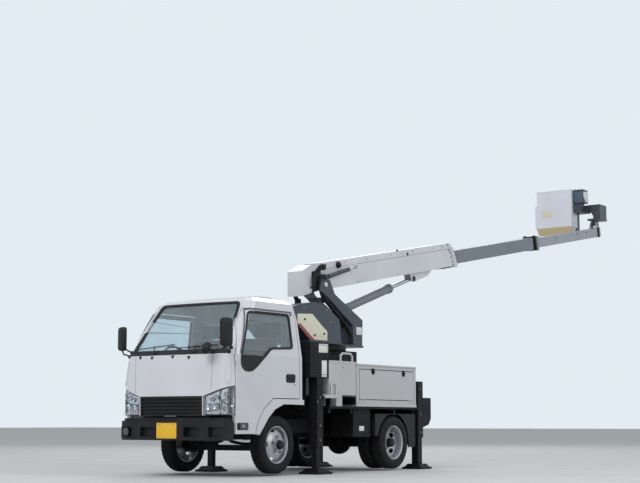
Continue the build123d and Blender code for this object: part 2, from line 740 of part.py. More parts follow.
def bumper():
    """Bumper wrapped round both corners, open at the back."""
    def plan(inset):
        w = BUMPER_HALF - inset
        f = BUMPER_FRONT + inset
        c = f + BUMPER_BOW
        r = BUMPER_CORNER - inset
        mid = math.sqrt(0.5)
        bow = ThreePointArc((w - r, c, 0), (0, f, 0), (-w + r, c, 0))
        left = ThreePointArc((-w + r, c, 0), (-w + r - r * mid, c + r * (1 - mid), 0), (-w, c + r, 0))
        right = ThreePointArc((w, c + r, 0), (w - r + r * mid, c + r * (1 - mid), 0), (w - r, c, 0))
        sides = [Line((-w, c + r, 0), (-w, BUMPER_REAR, 0)), Line((-w, BUMPER_REAR, 0), (w, BUMPER_REAR, 0)),
                 Line((w, BUMPER_REAR, 0), (w, c + r, 0))]
        return make_face([bow, left, sides[0], sides[1], sides[2], right])

    def strip(inset, thick, low, high):
        """The wall between two of these outlines, open at the back."""
        outer = extrude(plan(inset), amount=high - low, dir=(0, 0, 1))
        inner = extrude(plan(inset + thick), amount=high - low, dir=(0, 0, 1))
        return Pos(0, 0, low) * (outer - inner - Pos(0, 60, 0) * inner)
    step_top = BUMPER_TOP + STEP_H
    shell = strip(0, BUMPER_T, BUMPER_BOTTOM, BUMPER_TOP) + strip(STEP_IN, STEP_T, BUMPER_TOP - 1, step_top)
    low, high = BUMPER_SLOT_Z
    for x0, x1 in BUMPER_SLOTS:
        slot = block(x0, x1, BUMPER_FRONT - 100, BUMPER_FRONT + BUMPER_SLOT_D, low, high)
        shell = shell - slot - mirrored(slot)
    shell = shell - block(*PLATE_X, BUMPER_FRONT - 100, BUMPER_FRONT + PLATE_D, *PLATE_Z)
    notch_front = TILT_Y - TILT_PIN_R - 8
    notch = block(RAIL_X - RAIL_W - 8, RAIL_X + 8, notch_front, TILT_Y + 60, TILT_Z - 24, step_top + 1)
    shell = shell - notch - mirrored(notch)
    stay_front = BUMPER_FRONT + BUMPER_T - 5
    stay = block(RAIL_X - RAIL_W, RAIL_X, stay_front, FRAME_FRONT - HORN_REACH, 520, TILT_Z - 30)
    return shell + stay + mirrored(stay)


def seats():
    """Two seats, each a cushion and a leaning back."""
    cushion = block(130, 680, -420, 80, 1010, 1120)
    back = Pos(405, 110, 1120) * Rot(-12, 0, 0) * Pos(0, 0, 310) * Box(520, 110, 600)
    plinth = block(130, 680, -400, 120, FLOOR_Z + FLOOR_T, 1012)
    seat = cushion + back + plinth
    return both(seat)


def dashboard():
    """Dashboard across the cab, with the steering column and wheel on the right-hand side."""
    outline = ((-920, 1120), (-620, 1120), (-560, 1300), (-600, 1370), (-880, 1400))
    desk = side_prism(outline, -DASH_HALF, DASH_HALF)
    desk = desk & cab_body(CAB_WALL + 6)
    wheel = Pos(-420, -470, 1400) * Rot(-58, 0, 0) * Torus(190, 15)
    spoke = Pos(-420, -470, 1400) * Rot(-58, 0, 0) * Box(380, 40, 14)
    column = bar((-420, -470, 1400), (-420, -640, 1290), 26)
    return desk + wheel + spoke + column


def mirrors():
    """Door mirrors on tubular arms from the front pillars."""
    # centre x, y, z of the head, its turn about Z, then foot x, y and its low and high z
    table = (
        (930, -1200, 1670, 20, 780, -935, 1330, 1470),
        (-960, -900, 1655, -20, -780, -935, 1330, 1500),
    )
    heads = []
    for x, y, z, turn, fx, fy, low, high in table:
        head = Box(150, 55, 330)
        head = fillet(head.edges().filter_by(Axis.Y), 40)
        head = Pos(x, y, z) * Rot(0, 0, turn) * head
        arm = bar((fx, fy, high), (x, y, z - 120), 11) + bar((fx, fy, low), (x, y, z - 150), 11)
        heads.append(head + (arm - cab_body(0)))
    return Compound(heads)


# Body on the frame

def subframe():
    """Longitudinal beams and cross beams, the turntable's closed pedestal and its ring."""
    beam = block(RAIL_X - SUB_W, RAIL_X, SUB_FRONT, DECK_REAR, RAIL_TOP, SUB_TOP)
    frame = beam + mirrored(beam)
    for y in SUB_BEAMS:
        frame = frame + block(-BODY_HALF + 40, BODY_HALF - 40, y - 25, y + 25, SUB_TOP - 60, SUB_TOP)
    foot = block(-PEDESTAL_X, PEDESTAL_X, PEDESTAL_FRONT, PEDESTAL_REAR, RAIL_TOP, DRUM_Z)
    drum = Pos(0, SLEW_Y, (DRUM_Z + RING_TOP) / 2) * Cylinder(DRUM_R, RING_TOP - DRUM_Z)
    socket = Pos(0, SLEW_Y, RING_TOP - 50) * Cylinder(SPIGOT_R + PIN_GAP, 100)
    return frame + foot + drum - socket


def deck():
    plate = block(-BODY_HALF, BODY_HALF, DECK_FRONT, DECK_REAR, SUB_TOP, SUB_TOP + DECK_T)
    hole = block(-PEDESTAL_X - 2, PEDESTAL_X + 2, PEDESTAL_FRONT - 2, PEDESTAL_REAR + 2, 0, 2000)
    room = SLEEVE / 2 + 4
    jack = block(JACK_X - room, BODY_HALF + 10, REAR_JACK_Y - room, DECK_REAR + 10, 0, 2000)
    front = block(BOX_IN + 50, BODY_HALF + 10, 0, SIDEBOX_FRONT + 20, 0, 2000)
    return plate - hole - jack - mirrored(jack) - front - mirrored(front)


def side_boxes():
    """Lidded side boxes behind the cab, each with a hoop rail on top, on feet over the deck."""
    box = block(BOX_IN, BODY_HALF, SIDEBOX_FRONT, SIDEBOX_REAR, SIDEBOX_BOTTOM, SIDEBOX_TOP)
    lid_top = SIDEBOX_TOP + SIDEBOX_LID
    lid = block(BOX_IN - 5, BODY_HALF + 6, SIDEBOX_FRONT, SIDEBOX_REAR, SIDEBOX_TOP, lid_top)
    low = SUB_TOP + DECK_T
    foot = block(BOX_IN, BOX_IN + 100, SIDEBOX_REAR - 240, SIDEBOX_REAR - 180, low, SIDEBOX_BOTTOM)
    foot = foot + block(BODY_HALF - 90, BODY_HALF, *SIDEBOX_FOOT, low, SIDEBOX_BOTTOM)
    x = BODY_HALF - 30
    rise = lid_top - 5
    bend = 45
    hoop = bar((x, HOOP_FRONT, rise), (x, HOOP_FRONT, HOOP_TOP - bend), HOOP_R)
    hoop = hoop + bar((x, HOOP_REAR, rise), (x, HOOP_REAR, HOOP_TOP - bend), HOOP_R)
    rail_z = HOOP_TOP - HOOP_R
    hoop = hoop + bar((x, HOOP_FRONT + bend, rail_z), (x, HOOP_REAR - bend, rail_z), HOOP_R)
    for y, s in ((HOOP_FRONT, 1), (HOOP_REAR, -1)):
        hoop = hoop + bar((x, y, HOOP_TOP - bend), (x, y + s * bend, HOOP_TOP - HOOP_R), HOOP_R)
        hoop = hoop + Pos(x, y, HOOP_TOP - bend) * Sphere(HOOP_R)
        hoop = hoop + Pos(x, y + s * bend, HOOP_TOP - HOOP_R) * Sphere(HOOP_R)
    return both(box + lid + foot + hoop)


def toolbox():
    low = SUB_TOP + DECK_T
    box = block(BOX_IN, BODY_HALF, TOOLBOX_FRONT, TOOLBOX_REAR, low, TOOLBOX_TOP)
    room = block(BOX_IN + BOX_WALL, BODY_HALF - BOX_WALL, TOOLBOX_FRONT + BOX_WALL, TOOLBOX_REAR - BOX_WALL,
                 low + BOX_WALL, TOOLBOX_TOP - BOX_WALL)
    mouth = block(BODY_HALF - 2 * BOX_WALL, BODY_HALF + 50, TOOLBOX_FRONT + HATCH_EDGE,
                  TOOLBOX_REAR - HATCH_EDGE, low + HATCH_LIP, TOOLBOX_TOP - HATCH_EDGE)
    lip = block(BODY_HALF, BODY_HALF + 8, TOOLBOX_FRONT, TOOLBOX_REAR, low, low + 35)
    return box - room - mouth + lip


def hatch():
    """Drop-down door of a toolbox."""
    low = SUB_TOP + DECK_T + HATCH_LIP + MOVE_GAP
    high = TOOLBOX_TOP - HATCH_EDGE - MOVE_GAP
    face = BODY_HALF + HATCH_PROUD
    panel = block(face - HATCH_T, face, TOOLBOX_FRONT + HATCH_EDGE + MOVE_GAP,
                  TOOLBOX_REAR - HATCH_EDGE - MOVE_GAP, low, high)
    for y in HATCH_HINGES:
        panel = panel + bar((face, y - 50, low), (face, y + 50, low), HATCH_HINGE_R)
    return panel


def side_tanks():
    """Fuel tank on the right, battery box on the left, both hung from the frame."""
    tank_front = TANK_REAR - TANK_L
    battery_front = BATTERY_REAR - BATTERY_L
    tank = block(-TANK_X[1], -TANK_X[0], tank_front, TANK_REAR, TANK_LOW, TANK_TOP)
    battery = block(*BATTERY_X, battery_front, BATTERY_REAR, TANK_LOW, BATTERY_TOP)
    for y in (battery_front + 60, BATTERY_REAR - 60 - BRACE_W):
        battery = battery + block(RAIL_X, BATTERY_X[0] + 10, y, y + BRACE_W, 560, 640)
    for y in (tank_front + 120, TANK_REAR - 360):
        tank = tank + block(-TANK_X[0] - 10, -RAIL_X, y, y + BRACE_W, 620, 670)
    return Compound([battery, tank])


def mudguards():
    """Side valance with the wheel opening, a roof over the tyres and a flap at each end, on each side."""
    x1 = BODY_HALF - GUARD_SET
    x0 = x1 - GUARD_T
    front_low, rear_low = GUARD_LOW
    opening = TYRE_R + GUARD_GAP
    panel = block(x0, x1, GUARD_FRONT, WHEELBASE, front_low, GUARD_TOP)
    panel = panel + block(x0, x1, WHEELBASE, GUARD_REAR, rear_low, GUARD_TOP)
    panel = panel - bar((x0 - 50, WHEELBASE, HUB_Z), (x1 + 50, WHEELBASE, HUB_Z), opening)
    edge = GUARD_REAR + 1
    nip = ((edge - GUARD_NIP - 2, rear_low - 1), (edge, rear_low - 1), (edge, rear_low + GUARD_NIP + 1))
    panel = panel - side_prism(nip, x0 - 1, x1 + 1)
    inner = x0 + GUARD_T / 2
    roof = block(GUARD_IN, inner, GUARD_FRONT + 2, FLAP_Y + 2, GUARD_TOP - GUARD_T, GUARD_TOP)
    flap = block(GUARD_IN, inner, FLAP_Y, FLAP_Y + GUARD_T, FLAP_LOW, GUARD_TOP)
    front = block(GUARD_IN, inner, GUARD_FRONT, GUARD_FRONT + GUARD_T, front_low, GUARD_TOP)
    return both(panel + roof + flap + front)


# Jacks

def sleeve(y, span, leg):
    low, high = span
    half = SLEEVE / 2
    tube = block(JACK_X - half, JACK_X + half, y - half, y + half, low, high)
    hole = leg / 2 + LEG_GAP
    bore = block(JACK_X - hole, JACK_X + hole, y - hole, y + hole, low - 1, high - SLEEVE_WALL)
    return tube - bore


def outrigger_front():
    """Front jack sleeves with their cabinets, on one cross beam."""
    side = sleeve(FRONT_JACK_Y, FRONT_SLEEVE, FRONT_LEG)
    half = SLEEVE / 2
    cabinet = block(CABINET_IN, BODY_HALF, CABINET_FRONT, CABINET_REAR, CABINET_BOTTOM, CABINET_TOP)
    bore = FRONT_LEG / 2 + LEG_GAP
    shaft = block(JACK_X - bore, JACK_X + bore, FRONT_JACK_Y - bore, FRONT_JACK_Y + bore, 0,
                  FRONT_SLEEVE[1] - SLEEVE_WALL)
    side = side + cabinet - shaft
    y0 = FRONT_JACK_Y - BEAM_HALF
    y1 = FRONT_JACK_Y + BEAM_HALF
    beam = block(-JACK_X + half - 5, JACK_X - half + 5, y0, y1, RAIL_TOP, RAIL_TOP + BEAM_H)
    post = block(CABINET_IN, CABINET_IN + 80, y0, y1, RAIL_TOP, CABINET_BOTTOM + 10)
    return side + mirrored(side) + beam + post + mirrored(post)


def outrigger_rear():
    """Rear jack sleeves under the frame, with their bracket plates and the tail beam."""
    side = sleeve(REAR_JACK_Y, REAR_SLEEVE, REAR_LEG)
    half = SLEEVE / 2
    y = REAR_JACK_Y + half - 2
    low, high = TAIL_PLATE
    outline = ((y, low), (y, high), (TAIL_REAR, high), (TAIL_REAR, low + 120), (TAIL_REAR - 60, low + 40))
    plate = side_prism(outline, JACK_X - 55, JACK_X + half)
    side = side + plate
    y0 = REAR_JACK_Y - BEAM_HALF
    y1 = REAR_JACK_Y + BEAM_HALF
    top = RAIL_TOP - RAIL_H
    beam = block(-JACK_X + half - 5, JACK_X - half + 5, y0, y1, top - BEAM_H, top)
    tail = block(-JACK_X, JACK_X, *TAIL_BEAM, *TAIL_Z)
    return side + mirrored(side) + beam + tail


def leg_top(span, spare):
    """Height of a leg's top while it stands out by its stroke."""
    return span[1] - SLEEVE_WALL - JACK_STROKE - spare


def jack_leg(y, leg, top):
    post = block(JACK_X - leg / 2, JACK_X + leg / 2, y - leg / 2, y + leg / 2, PAD_H - 10, top)
    plate = block(JACK_X - PAD / 2, JACK_X + PAD / 2, y - PAD / 2, y + PAD / 2, 0, PAD_T)
    low = Pos(JACK_X, y, PAD_T) * Rectangle(PAD - 40, PAD - 40)
    high = Pos(JACK_X, y, PAD_H) * Rectangle(PAD_NECK, PAD_NECK)
    return post + plate + loft([low.face(), high.face()], ruled=True)


# Turret

def turret_frame():
    """Turntable plate, two gooseneck cheeks, their webs and the lift cylinder's foot pin."""
    base = block(-COVER_HALF, COVER_HALF, BASE_FRONT, BASE_WIDE_REAR, TURNTABLE_Z, TURRET_BASE)
    base = base + block(-BASE_NARROW, BASE_NARROW, BASE_WIDE_REAR - 5, CHEEK_REAR, TURNTABLE_Z, TURRET_BASE)
    spigot = Pos(0, SLEW_Y, TURNTABLE_Z - 35) * Cylinder(SPIGOT_R, 80)
    cheek = side_prism(CHEEK, CHEEK_IN, CHEEK_IN + CHEEK_T)
    bore = bar((CHEEK_IN - 5, FOOT_Y, FOOT_Z), (CHEEK_IN + CHEEK_T + 5, FOOT_Y, FOOT_Z), FOOT_PIN_R + PIN_GAP)
    cheek = cheek - bore
    inner = CHEEK_IN + 5
    rear = block(-inner, inner, CHEEK_REAR - WEB_T, CHEEK_REAR, TURRET_BASE, 2060)
    (y0, z0), (y1, z1) = CHEEK_LOW
    outline = ((CHEEK_FOOT, TURRET_BASE), (y1, z1), (y1 + WEB_T, z1), (CHEEK_FOOT + WEB_T, TURRET_BASE))
    front = side_prism(outline, -inner, inner)
    outline = ((y0, z0), (y1, z1), (y1 + WEB_T, z1), (y1, z1 + WEB_T), (y0, z0 + WEB_T))
    lower = side_prism(outline, -inner, inner)
    slot = LIFT_BARREL_R + LIFT_GAP
    lower = lower - block(-slot, slot, *WEB_SLOT, z1 - 50, z0 + 50)
    foot_y, foot_z = LIFT_FOOT
    rib = side_prism(((foot_y - 130, TURRET_BASE), (foot_y + 130, TURRET_BASE), (foot_y + 60, foot_z + 55),
                      (foot_y - 60, foot_z + 55)), LIFT_BARREL_R + 6, LIFT_BARREL_R + 36)
    pin_x = LIFT_BARREL_R + 30
    pin = bar((-pin_x, foot_y, foot_z), (pin_x, foot_y, foot_z), LIFT_PIN_R)
    lug_y, lug_z = boom_point(*LEVEL_FOOT)
    lug = bar((CHEEK_IN + CHEEK_T - 2, lug_y, lug_z), (LEVEL_X + 26, lug_y, lug_z), 16)
    ear = side_prism(POST_EAR, CHEEK_IN + 10, CHEEK_IN + CHEEK_T)
    webs = rear + front + lower
    return base + spigot + cheek + mirrored(cheek) + webs + rib + mirrored(rib) + pin + ear + lug


def turret_cover():
    """Rounded housing ahead of the post, with a channel for the boom's foot."""
    outer = side_prism(COVER, -COVER_HALF, COVER_HALF)
    inner = side_cut(COVER, -COVER_WALL, -COVER_HALF + COVER_WALL, COVER_HALF - COVER_WALL)
    slot = block(-COVER_SLOT, COVER_SLOT, 600, 2500, COVER_SLOT_Z, 2500)
    half = COVER_SLOT + COVER_WALL
    floor = block(-half, half, 905, 1880, COVER_SLOT_Z - COVER_WALL, 2230)
    floor = floor & side_prism(COVER, -COVER_HALF, COVER_HALF)
    return (outer - inner) + floor - slot


# Boom

def boom_point(s, t):
    """World y and z of a point given along and square to the boom."""
    c = math.cos(math.radians(ELEVATION))
    n = math.sin(math.radians(ELEVATION))
    return FOOT_Y + s * c - t * n, FOOT_Z + s * n + t * c


def raised(shape):
    """Turns a shape drawn level from the foot pin up to the boom's elevation."""
    return Pos(0, FOOT_Y, FOOT_Z) * Rot(ELEVATION, 0, 0) * shape


def tube(half, low, high, start, end, wall):
    outer = block(-half, half, start, end, low, high)
    inner = block(-half + wall, half - wall, start - 1, end + 1, low + wall, high - wall)
    return outer - inner


def mouth(half, low, high, end, wall):
    """The thick collar at a section's open end."""
    outer = block(-half - COLLAR, half + COLLAR, end, end + COLLAR_L, low - COLLAR, high + COLLAR)
    inner = block(-half + wall, half - wall, end - 1, end + COLLAR_L + 1, low + wall, high - wall)
    return outer - inner


def boom_base():
    """Base section with its covered top channel, slanting mouth, foot box, foot pin and cylinder ears."""
    mouth_s, mouth_t = MOUTH_LOW
    head_s, head_t = MOUTH_TOP
    box = tube(BASE_HALF, BASE_LOW, BASE_SEAM, BASE_START, mouth_s, BASE_WALL)
    wide = BASE_HALF + COLLAR
    beyond = side_prism(((mouth_s, mouth_t), (head_s, head_t), (head_s, 400), (mouth_s + 200, 400),
                         (mouth_s + 200, mouth_t)), -wide - 1, wide + 1)
    box = box - beyond
    tray_end = NOSE_TOP - 40
    tray = block(-BASE_HALF, BASE_HALF, TRAY_START, tray_end, BASE_SEAM - TRAY_WALL, BASE_HIGH)
    tray = tray - block(-BASE_HALF + TRAY_WALL, BASE_HALF - TRAY_WALL, TRAY_START + TRAY_WALL,
                        tray_end - TRAY_WALL, BASE_SEAM, BASE_HIGH - TRAY_WALL)
    nose = side_prism(((tray_end - 1, BASE_SEAM - 1), (head_s, BASE_SEAM - 1), (head_s, head_t),
                       (NOSE_TOP, BASE_HIGH - 15), (tray_end - 1, BASE_HIGH)), -BASE_HALF, BASE_HALF)
    collar = side_prism(((mouth_s - COLLAR_L, mouth_t), (mouth_s, mouth_t), (head_s, head_t),
                         (head_s - COLLAR_L, head_t)), -wide, wide)
    collar = collar - block(-BASE_HALF + BASE_WALL, BASE_HALF - BASE_WALL, head_s - 200, mouth_s + 1,
                            BASE_LOW + BASE_WALL, BASE_SEAM - BASE_WALL)
    cap = side_prism(FOOT_BOX, -BASE_HALF + 5, BASE_HALF - 5)
    cap = cap - side_cut(FOOT_BOX, -TRAY_WALL, -BASE_HALF + 5 + TRAY_WALL, BASE_HALF - 5 - TRAY_WALL)
    boss = bar((BASE_HALF - 2, 0, 0), (CHEEK_IN - 1.5, 0, 0), 62)
    pin = bar((BASE_HALF - 2, 0, 0), (CHEEK_IN + CHEEK_T + 16, 0, 0), FOOT_PIN_R)
    trunnion = boss + pin
    eye_s, eye_t = LIFT_EYE
    low = BASE_LOW + 2
    foot = ((eye_s - 93, low), (eye_s - 60, eye_t - 27), (eye_s - 30, eye_t - 45))
    outline = (*foot, (eye_s + 30, eye_t - 45), (eye_s + 440, eye_t + 8), (eye_s + 578, low))
    ear = side_prism(outline, LIFT_EAR_GAP, LIFT_EAR_GAP + LIFT_EAR_T)
    level_s, level_t = LEVEL_EYE
    stud = bar((BASE_HALF - 2, level_s, level_t), (LEVEL_X - 27, level_s, level_t), 30)
    stud = stud + bar((BASE_HALF, level_s, level_t), (LEVEL_X + 24, level_s, level_t), LEVEL_PIN_R)
    shape = box + tray + nose + collar + cap + trunnion + mirrored(trunnion) + ear + mirrored(ear) + stud
    return raised(shape)


def boom_mid():
    box = tube(MID_HALF, MID_LOW, MID_HIGH, MID_START, MID_END, MID_WALL)
    return raised(box + mouth(MID_HALF, MID_LOW, MID_HIGH, MID_END, MID_WALL))


def boom_outer():
    box = tube(OUTER_HALF, OUTER_LOW, OUTER_HIGH, OUTER_START, OUTER_END, OUTER_WALL)
    s, t = TIP_PIN
    cap = block(-OUTER_HALF, OUTER_HALF, OUTER_END - 60, OUTER_END, OUTER_LOW, OUTER_HIGH)
    low = OUTER_HIGH - 2
    outline = ((s - 115, low), (s - 42, t + 30), (s + 40, t + 38), (OUTER_END, low))
    ear = side_prism(outline, TIP_EAR_IN, TIP_EAR_IN + TIP_EAR_T)
    ear = ear - bar((TIP_EAR_IN - 5, s, t), (TIP_EAR_IN + TIP_EAR_T + 5, s, t), TIP_PIN_R + PIN_GAP)
    return raised(box + cap + ear + mirrored(ear))


# Cylinders

def lift_line():
    eye = boom_point(*LIFT_EYE)
    dy = eye[0] - LIFT_FOOT[0]
    dz = eye[1] - LIFT_FOOT[1]
    length = math.hypot(dy, dz)
    return eye, length, math.degrees(math.atan2(dz, dy))


def lift_barrel():
    _, _, angle = lift_line()
    body = bar((0, 60, 0), (0, LIFT_BARREL_L, 0), LIFT_BARREL_R)
    head = bar((0, LIFT_BARREL_L - 60, 0), (0, LIFT_BARREL_L, 0), LIFT_BARREL_R + 8)
    foot = bar((-50, 0, 0), (50, 0, 0), 52) + block(-45, 45, 0, 80, -45, 45)
    bore = bar((-60, 0, 0), (60, 0, 0), LIFT_PIN_R + PIN_GAP)
    room = bar((0, 120, 0), (0, LIFT_BARREL_L + 1, 0), LIFT_ROD_R + 20)
    gland = bar((0, LIFT_BARREL_L - 70, 0), (0, LIFT_BARREL_L, 0), LIFT_ROD_R + 21)
    gland = gland - bar((0, LIFT_BARREL_L - 80, 0), (0, LIFT_BARREL_L + 1, 0), LIFT_ROD_R + PIN_GAP)
    shape = body + head + foot - bore - room + gland
    return Pos(0, *LIFT_FOOT) * Rot(angle, 0, 0) * shape


def lift_rod():
    _, length, angle = lift_line()
    rod = bar((0, LIFT_BARREL_L - 690, 0), (0, length - 15, 0), LIFT_ROD_R)
    piston = bar((0, LIFT_BARREL_L - 730, 0), (0, LIFT_BARREL_L - 690, 0), LIFT_ROD_R + 18)
    eye = bar((-LIFT_EYE_W / 2, length, 0), (LIFT_EYE_W / 2, length, 0), LIFT_EYE_R)
    return Pos(0, *LIFT_FOOT) * Rot(angle, 0, 0) * (rod + piston + eye)


def level_line():
    foot = boom_point(*LEVEL_FOOT)
    eye = boom_point(*LEVEL_EYE)
    length = math.hypot(eye[0] - foot[0], eye[1] - foot[1])
    return foot, length, math.degrees(math.atan2(eye[1] - foot[1], eye[0] - foot[0]))


def level_barrel():
    foot, _, angle = level_line()
    body = bar((0, 45, 0), (0, LEVEL_BARREL_L, 0), LEVEL_BARREL_R)
    lug = bar((-18, 0, 0), (18, 0, 0), 34) + block(-14, 14, 0, 60, -20, 20)
    bore = bar((-30, 0, 0), (30, 0, 0), 16 + PIN_GAP)
    room = bar((0, 90, 0), (0, LEVEL_BARREL_L + 1, 0), LEVEL_ROD_R + PIN_GAP)
    return Pos(LEVEL_X, *foot) * Rot(angle, 0, 0) * (body + lug - bore - room)


def level_rod():
    foot, length, angle = level_line()
    hole = LEVEL_PIN_R + LEVEL_DRIFT
    rod = bar((0, 250, 0), (0, length - hole - 5, 0), LEVEL_ROD_R)
    eye = bar((-16, length, 0), (16, length, 0), hole + 14) - bar((-20, length, 0), (20, length, 0), hole)
    return Pos(LEVEL_X, *foot) * Rot(angle, 0, 0) * (rod + eye)


# Boom tip and bucket

def tip_bracket():
    """Levelled carrier: upright lugs on the tip pin, under the swing bearing plate."""
    y, z = boom_point(*TIP_PIN)
    low, high = TIP_PLATE
    outline = ((y - 45, z - 40), (y - 45, low + 2), (y + 60, low + 2), (y + 60, z - 10), (y + 40, z - 40))
    lug = side_prism(outline, 20, TIP_EAR_IN - 2)
    plate = block(HOUSE_X[0] - 5, HOUSE_X[1] + 5, HOUSE_FRONT - 5, HOUSE_REAR + 10, low, high)
    pin = bar((-TIP_EAR_IN - TIP_EAR_T - 8, y, z), (TIP_EAR_IN + TIP_EAR_T + 8, y, z), TIP_PIN_R)
    spigot = Pos(0, SWING_Y, high + 15) * Cylinder(SWING_PIN_R, 36)
    return lug + mirrored(lug) + plate + pin + spigot


def swing_arm():
    """Swing housing on the tip, the arm beside the bucket, its hanging post and the control box."""
    x0, x1 = HOUSE_X
    house = block(x0, x1, HOUSE_FRONT, HOUSE_REAR, HOUSE_LOW, HOUSE_HIGH)
    across, up = HOUSE_CUT
    corner = front_prism(((x0 - 1, HOUSE_LOW - 1), (x0 + across, HOUSE_LOW - 1), (x0 - 1, HOUSE_LOW + up)),
                         HOUSE_FRONT - 1, HOUSE_REAR + 1)
    boss = Pos(0, SWING_Y, HOUSE_LOW + up / 2) * Cylinder(SWING_PIN_R + 20, up)
    socket = Pos(0, SWING_Y, HOUSE_LOW) * Cylinder(SWING_PIN_R + PIN_GAP, 80)
    low, high = ARM_Z
    front, rear = ARM_Y
    arm = block(BUCKET_IN + ARM_GAP, ARM_SIDE, front, rear, low, high)
    arm = arm + block(POST_X[0], x0 + 30, NOTCH_FRONT + ARM_GAP, rear, low, high)
    post = block(*POST_X, NOTCH_FRONT, POST_REAR, POST_LOW, high)
    control = block(*CONTROL_X, *CONTROL_Y, *CONTROL_Z)
    neck_y = (CONTROL_Y[0] + 30, CONTROL_Y[1] - 30)
    neck = block(CONTROL_X[0] + 40, ARM_SIDE - 20, *neck_y, high - 5, CONTROL_Z[0] + 5)
    return (house - corner + boss - socket) + arm + post + control + neck


def bucket():
    """Open-topped bucket with chamfered foot, a corner recess for its post and a stepped right end."""
    def outline(x0, inset):
        x1 = BUCKET_IN - inset
        y0 = BUCKET_FRONT + inset
        y1 = BUCKET_REAR - inset
        nx = BUCKET_IN - NOTCH_X - inset
        ny = NOTCH_FRONT - inset
        return ((x0, y0), (x1, y0), (x1, ny), (nx, ny), (nx, y1), (x0, y1))

    def form(inset, low, high):
        x0 = BUCKET_OUT + inset
        lower = plan_prism(outline(x0, inset), BUCKET_CHAMFER_Z, BUCKET_STEP_Z)
        upper = plan_prism(outline(x0 + BUCKET_STEP, inset), BUCKET_STEP_Z - inset, high)
        rim = make_face(Polyline(*[(x, y, BUCKET_CHAMFER_Z) for x, y in outline(x0, inset)], close=True))
        c = BUCKET_CHAMFER
        (xa, ya), (xb, _), (_, yn), (xn, _), (_, yb), _ = outline(x0, inset)
        foot = ((xa + c, ya + c), (xb - c, ya + c), (xb - c, yn - 40), (xn - 40, yn - 40), (xn - 40, yb - c),
                (xa + c, yb - c))
        floor = make_face(Polyline(*[(x, y, low) for x, y in foot], close=True))
        return lower + upper + loft([floor, rim], ruled=True)
    return form(0, BUCKET_BOTTOM, BUCKET_TOP) - form(BUCKET_WALL, BUCKET_BOTTOM + BUCKET_WALL, BUCKET_TOP + 1)


def tail_lamps():
    rear = TAIL_BEAM[1]
    lamp = block(*TAIL_LAMP_X, rear + 1, rear + 1 + TAIL_LAMP_T, TAIL_Z[0] + 20, TAIL_Z[1] - 20)
    return both(lamp)


def build():
    shapes = {}
    tyre_f, rim_f = front_wheel()
    tyre_r, rim_r = rear_wheels()
    left = {
        "knuckle": knuckle(), "front_tyre": tyre_f, "front_rim": rim_f, "rear_tyres": tyre_r,
        "rear_rims": rim_r, "door": door(), "door_glass": door_glass(), "toolbox": toolbox(),
        "toolbox_door": hatch(),
        "front_jack_leg": jack_leg(FRONT_JACK_Y, FRONT_LEG, leg_top(FRONT_SLEEVE, LEG_SPARE[0])),
        "rear_jack_leg": jack_leg(REAR_JACK_Y, REAR_LEG, leg_top(REAR_SLEEVE, LEG_SPARE[1])),
    }
    for name, shape in left.items():
        shapes[name + "_left"] = shape
        shapes[name + "_right"] = mirrored(shape)
    shapes["front_axle"] = front_axle()
    shapes["rear_axle"] = rear_axle()
    shapes["leaf_springs"] = leaf_springs()
    shapes["chassis_frame"] = chassis_frame()
    shapes["engine_block"] = engine_block()
    shapes["prop_shaft"] = prop_shaft()
    shapes["exhaust"] = exhaust()
    shapes["cab_shell"] = cab_shell()
    shapes["cab_glass"] = cab_glass()
    shapes["headlamps"] = headlamps()
    shapes["grille"] = grille()
    shapes["front_bumper"] = bumper()
    shapes["seats"] = seats()
    shapes["dashboard"] = dashboard()
    shapes["mirrors"] = mirrors()
    shapes["subframe"] = subframe()
    shapes["deck"] = deck()
    shapes["side_boxes"] = side_boxes()
    shapes["side_tanks"] = side_tanks()
    shapes["mudguards"] = mudguards()
    shapes["outrigger_front"] = outrigger_front()
    shapes["outrigger_rear"] = outrigger_rear()
    shapes["turret_frame"] = turret_frame()
    shapes["turret_cover"] = turret_cover()
    shapes["boom_base"] = boom_base()
    shapes["boom_mid"] = boom_mid()
    shapes["boom_outer"] = boom_outer()
    shapes["lift_barrel"] = lift_barrel()
    shapes["lift_rod"] = lift_rod()
    shapes["level_barrel"] = level_barrel()
    shapes["level_rod"] = level_rod()
    shapes["tip_bracket"] = tip_bracket()
    shapes["swing_arm"] = swing_arm()
    shapes["bucket"] = bucket()
    shapes["tail_lamps"] = tail_lamps()
    return shapes


for node, shape in build().items():
    save(shape, node)
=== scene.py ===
import json
import math

import bmesh
import bpy
from mathutils import Matrix, Vector
from mathutils.bvhtree import BVHTree


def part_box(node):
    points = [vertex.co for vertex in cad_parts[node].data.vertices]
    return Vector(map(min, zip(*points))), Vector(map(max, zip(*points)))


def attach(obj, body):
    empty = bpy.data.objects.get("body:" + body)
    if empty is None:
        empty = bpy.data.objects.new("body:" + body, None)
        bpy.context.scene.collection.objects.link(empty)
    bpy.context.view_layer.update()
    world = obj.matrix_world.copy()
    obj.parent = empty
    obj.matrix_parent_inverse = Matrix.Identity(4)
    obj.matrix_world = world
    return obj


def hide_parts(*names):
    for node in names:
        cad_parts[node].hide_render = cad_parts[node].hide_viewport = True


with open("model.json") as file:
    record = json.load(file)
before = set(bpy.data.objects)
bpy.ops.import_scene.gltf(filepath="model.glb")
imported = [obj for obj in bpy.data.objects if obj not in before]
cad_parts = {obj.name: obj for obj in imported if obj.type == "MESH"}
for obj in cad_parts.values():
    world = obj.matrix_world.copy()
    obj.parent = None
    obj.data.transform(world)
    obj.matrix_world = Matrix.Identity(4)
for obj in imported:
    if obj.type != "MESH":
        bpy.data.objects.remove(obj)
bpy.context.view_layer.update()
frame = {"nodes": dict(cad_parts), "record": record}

NODES = frame["nodes"]
BOXES = {n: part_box(n) for n in NODES}
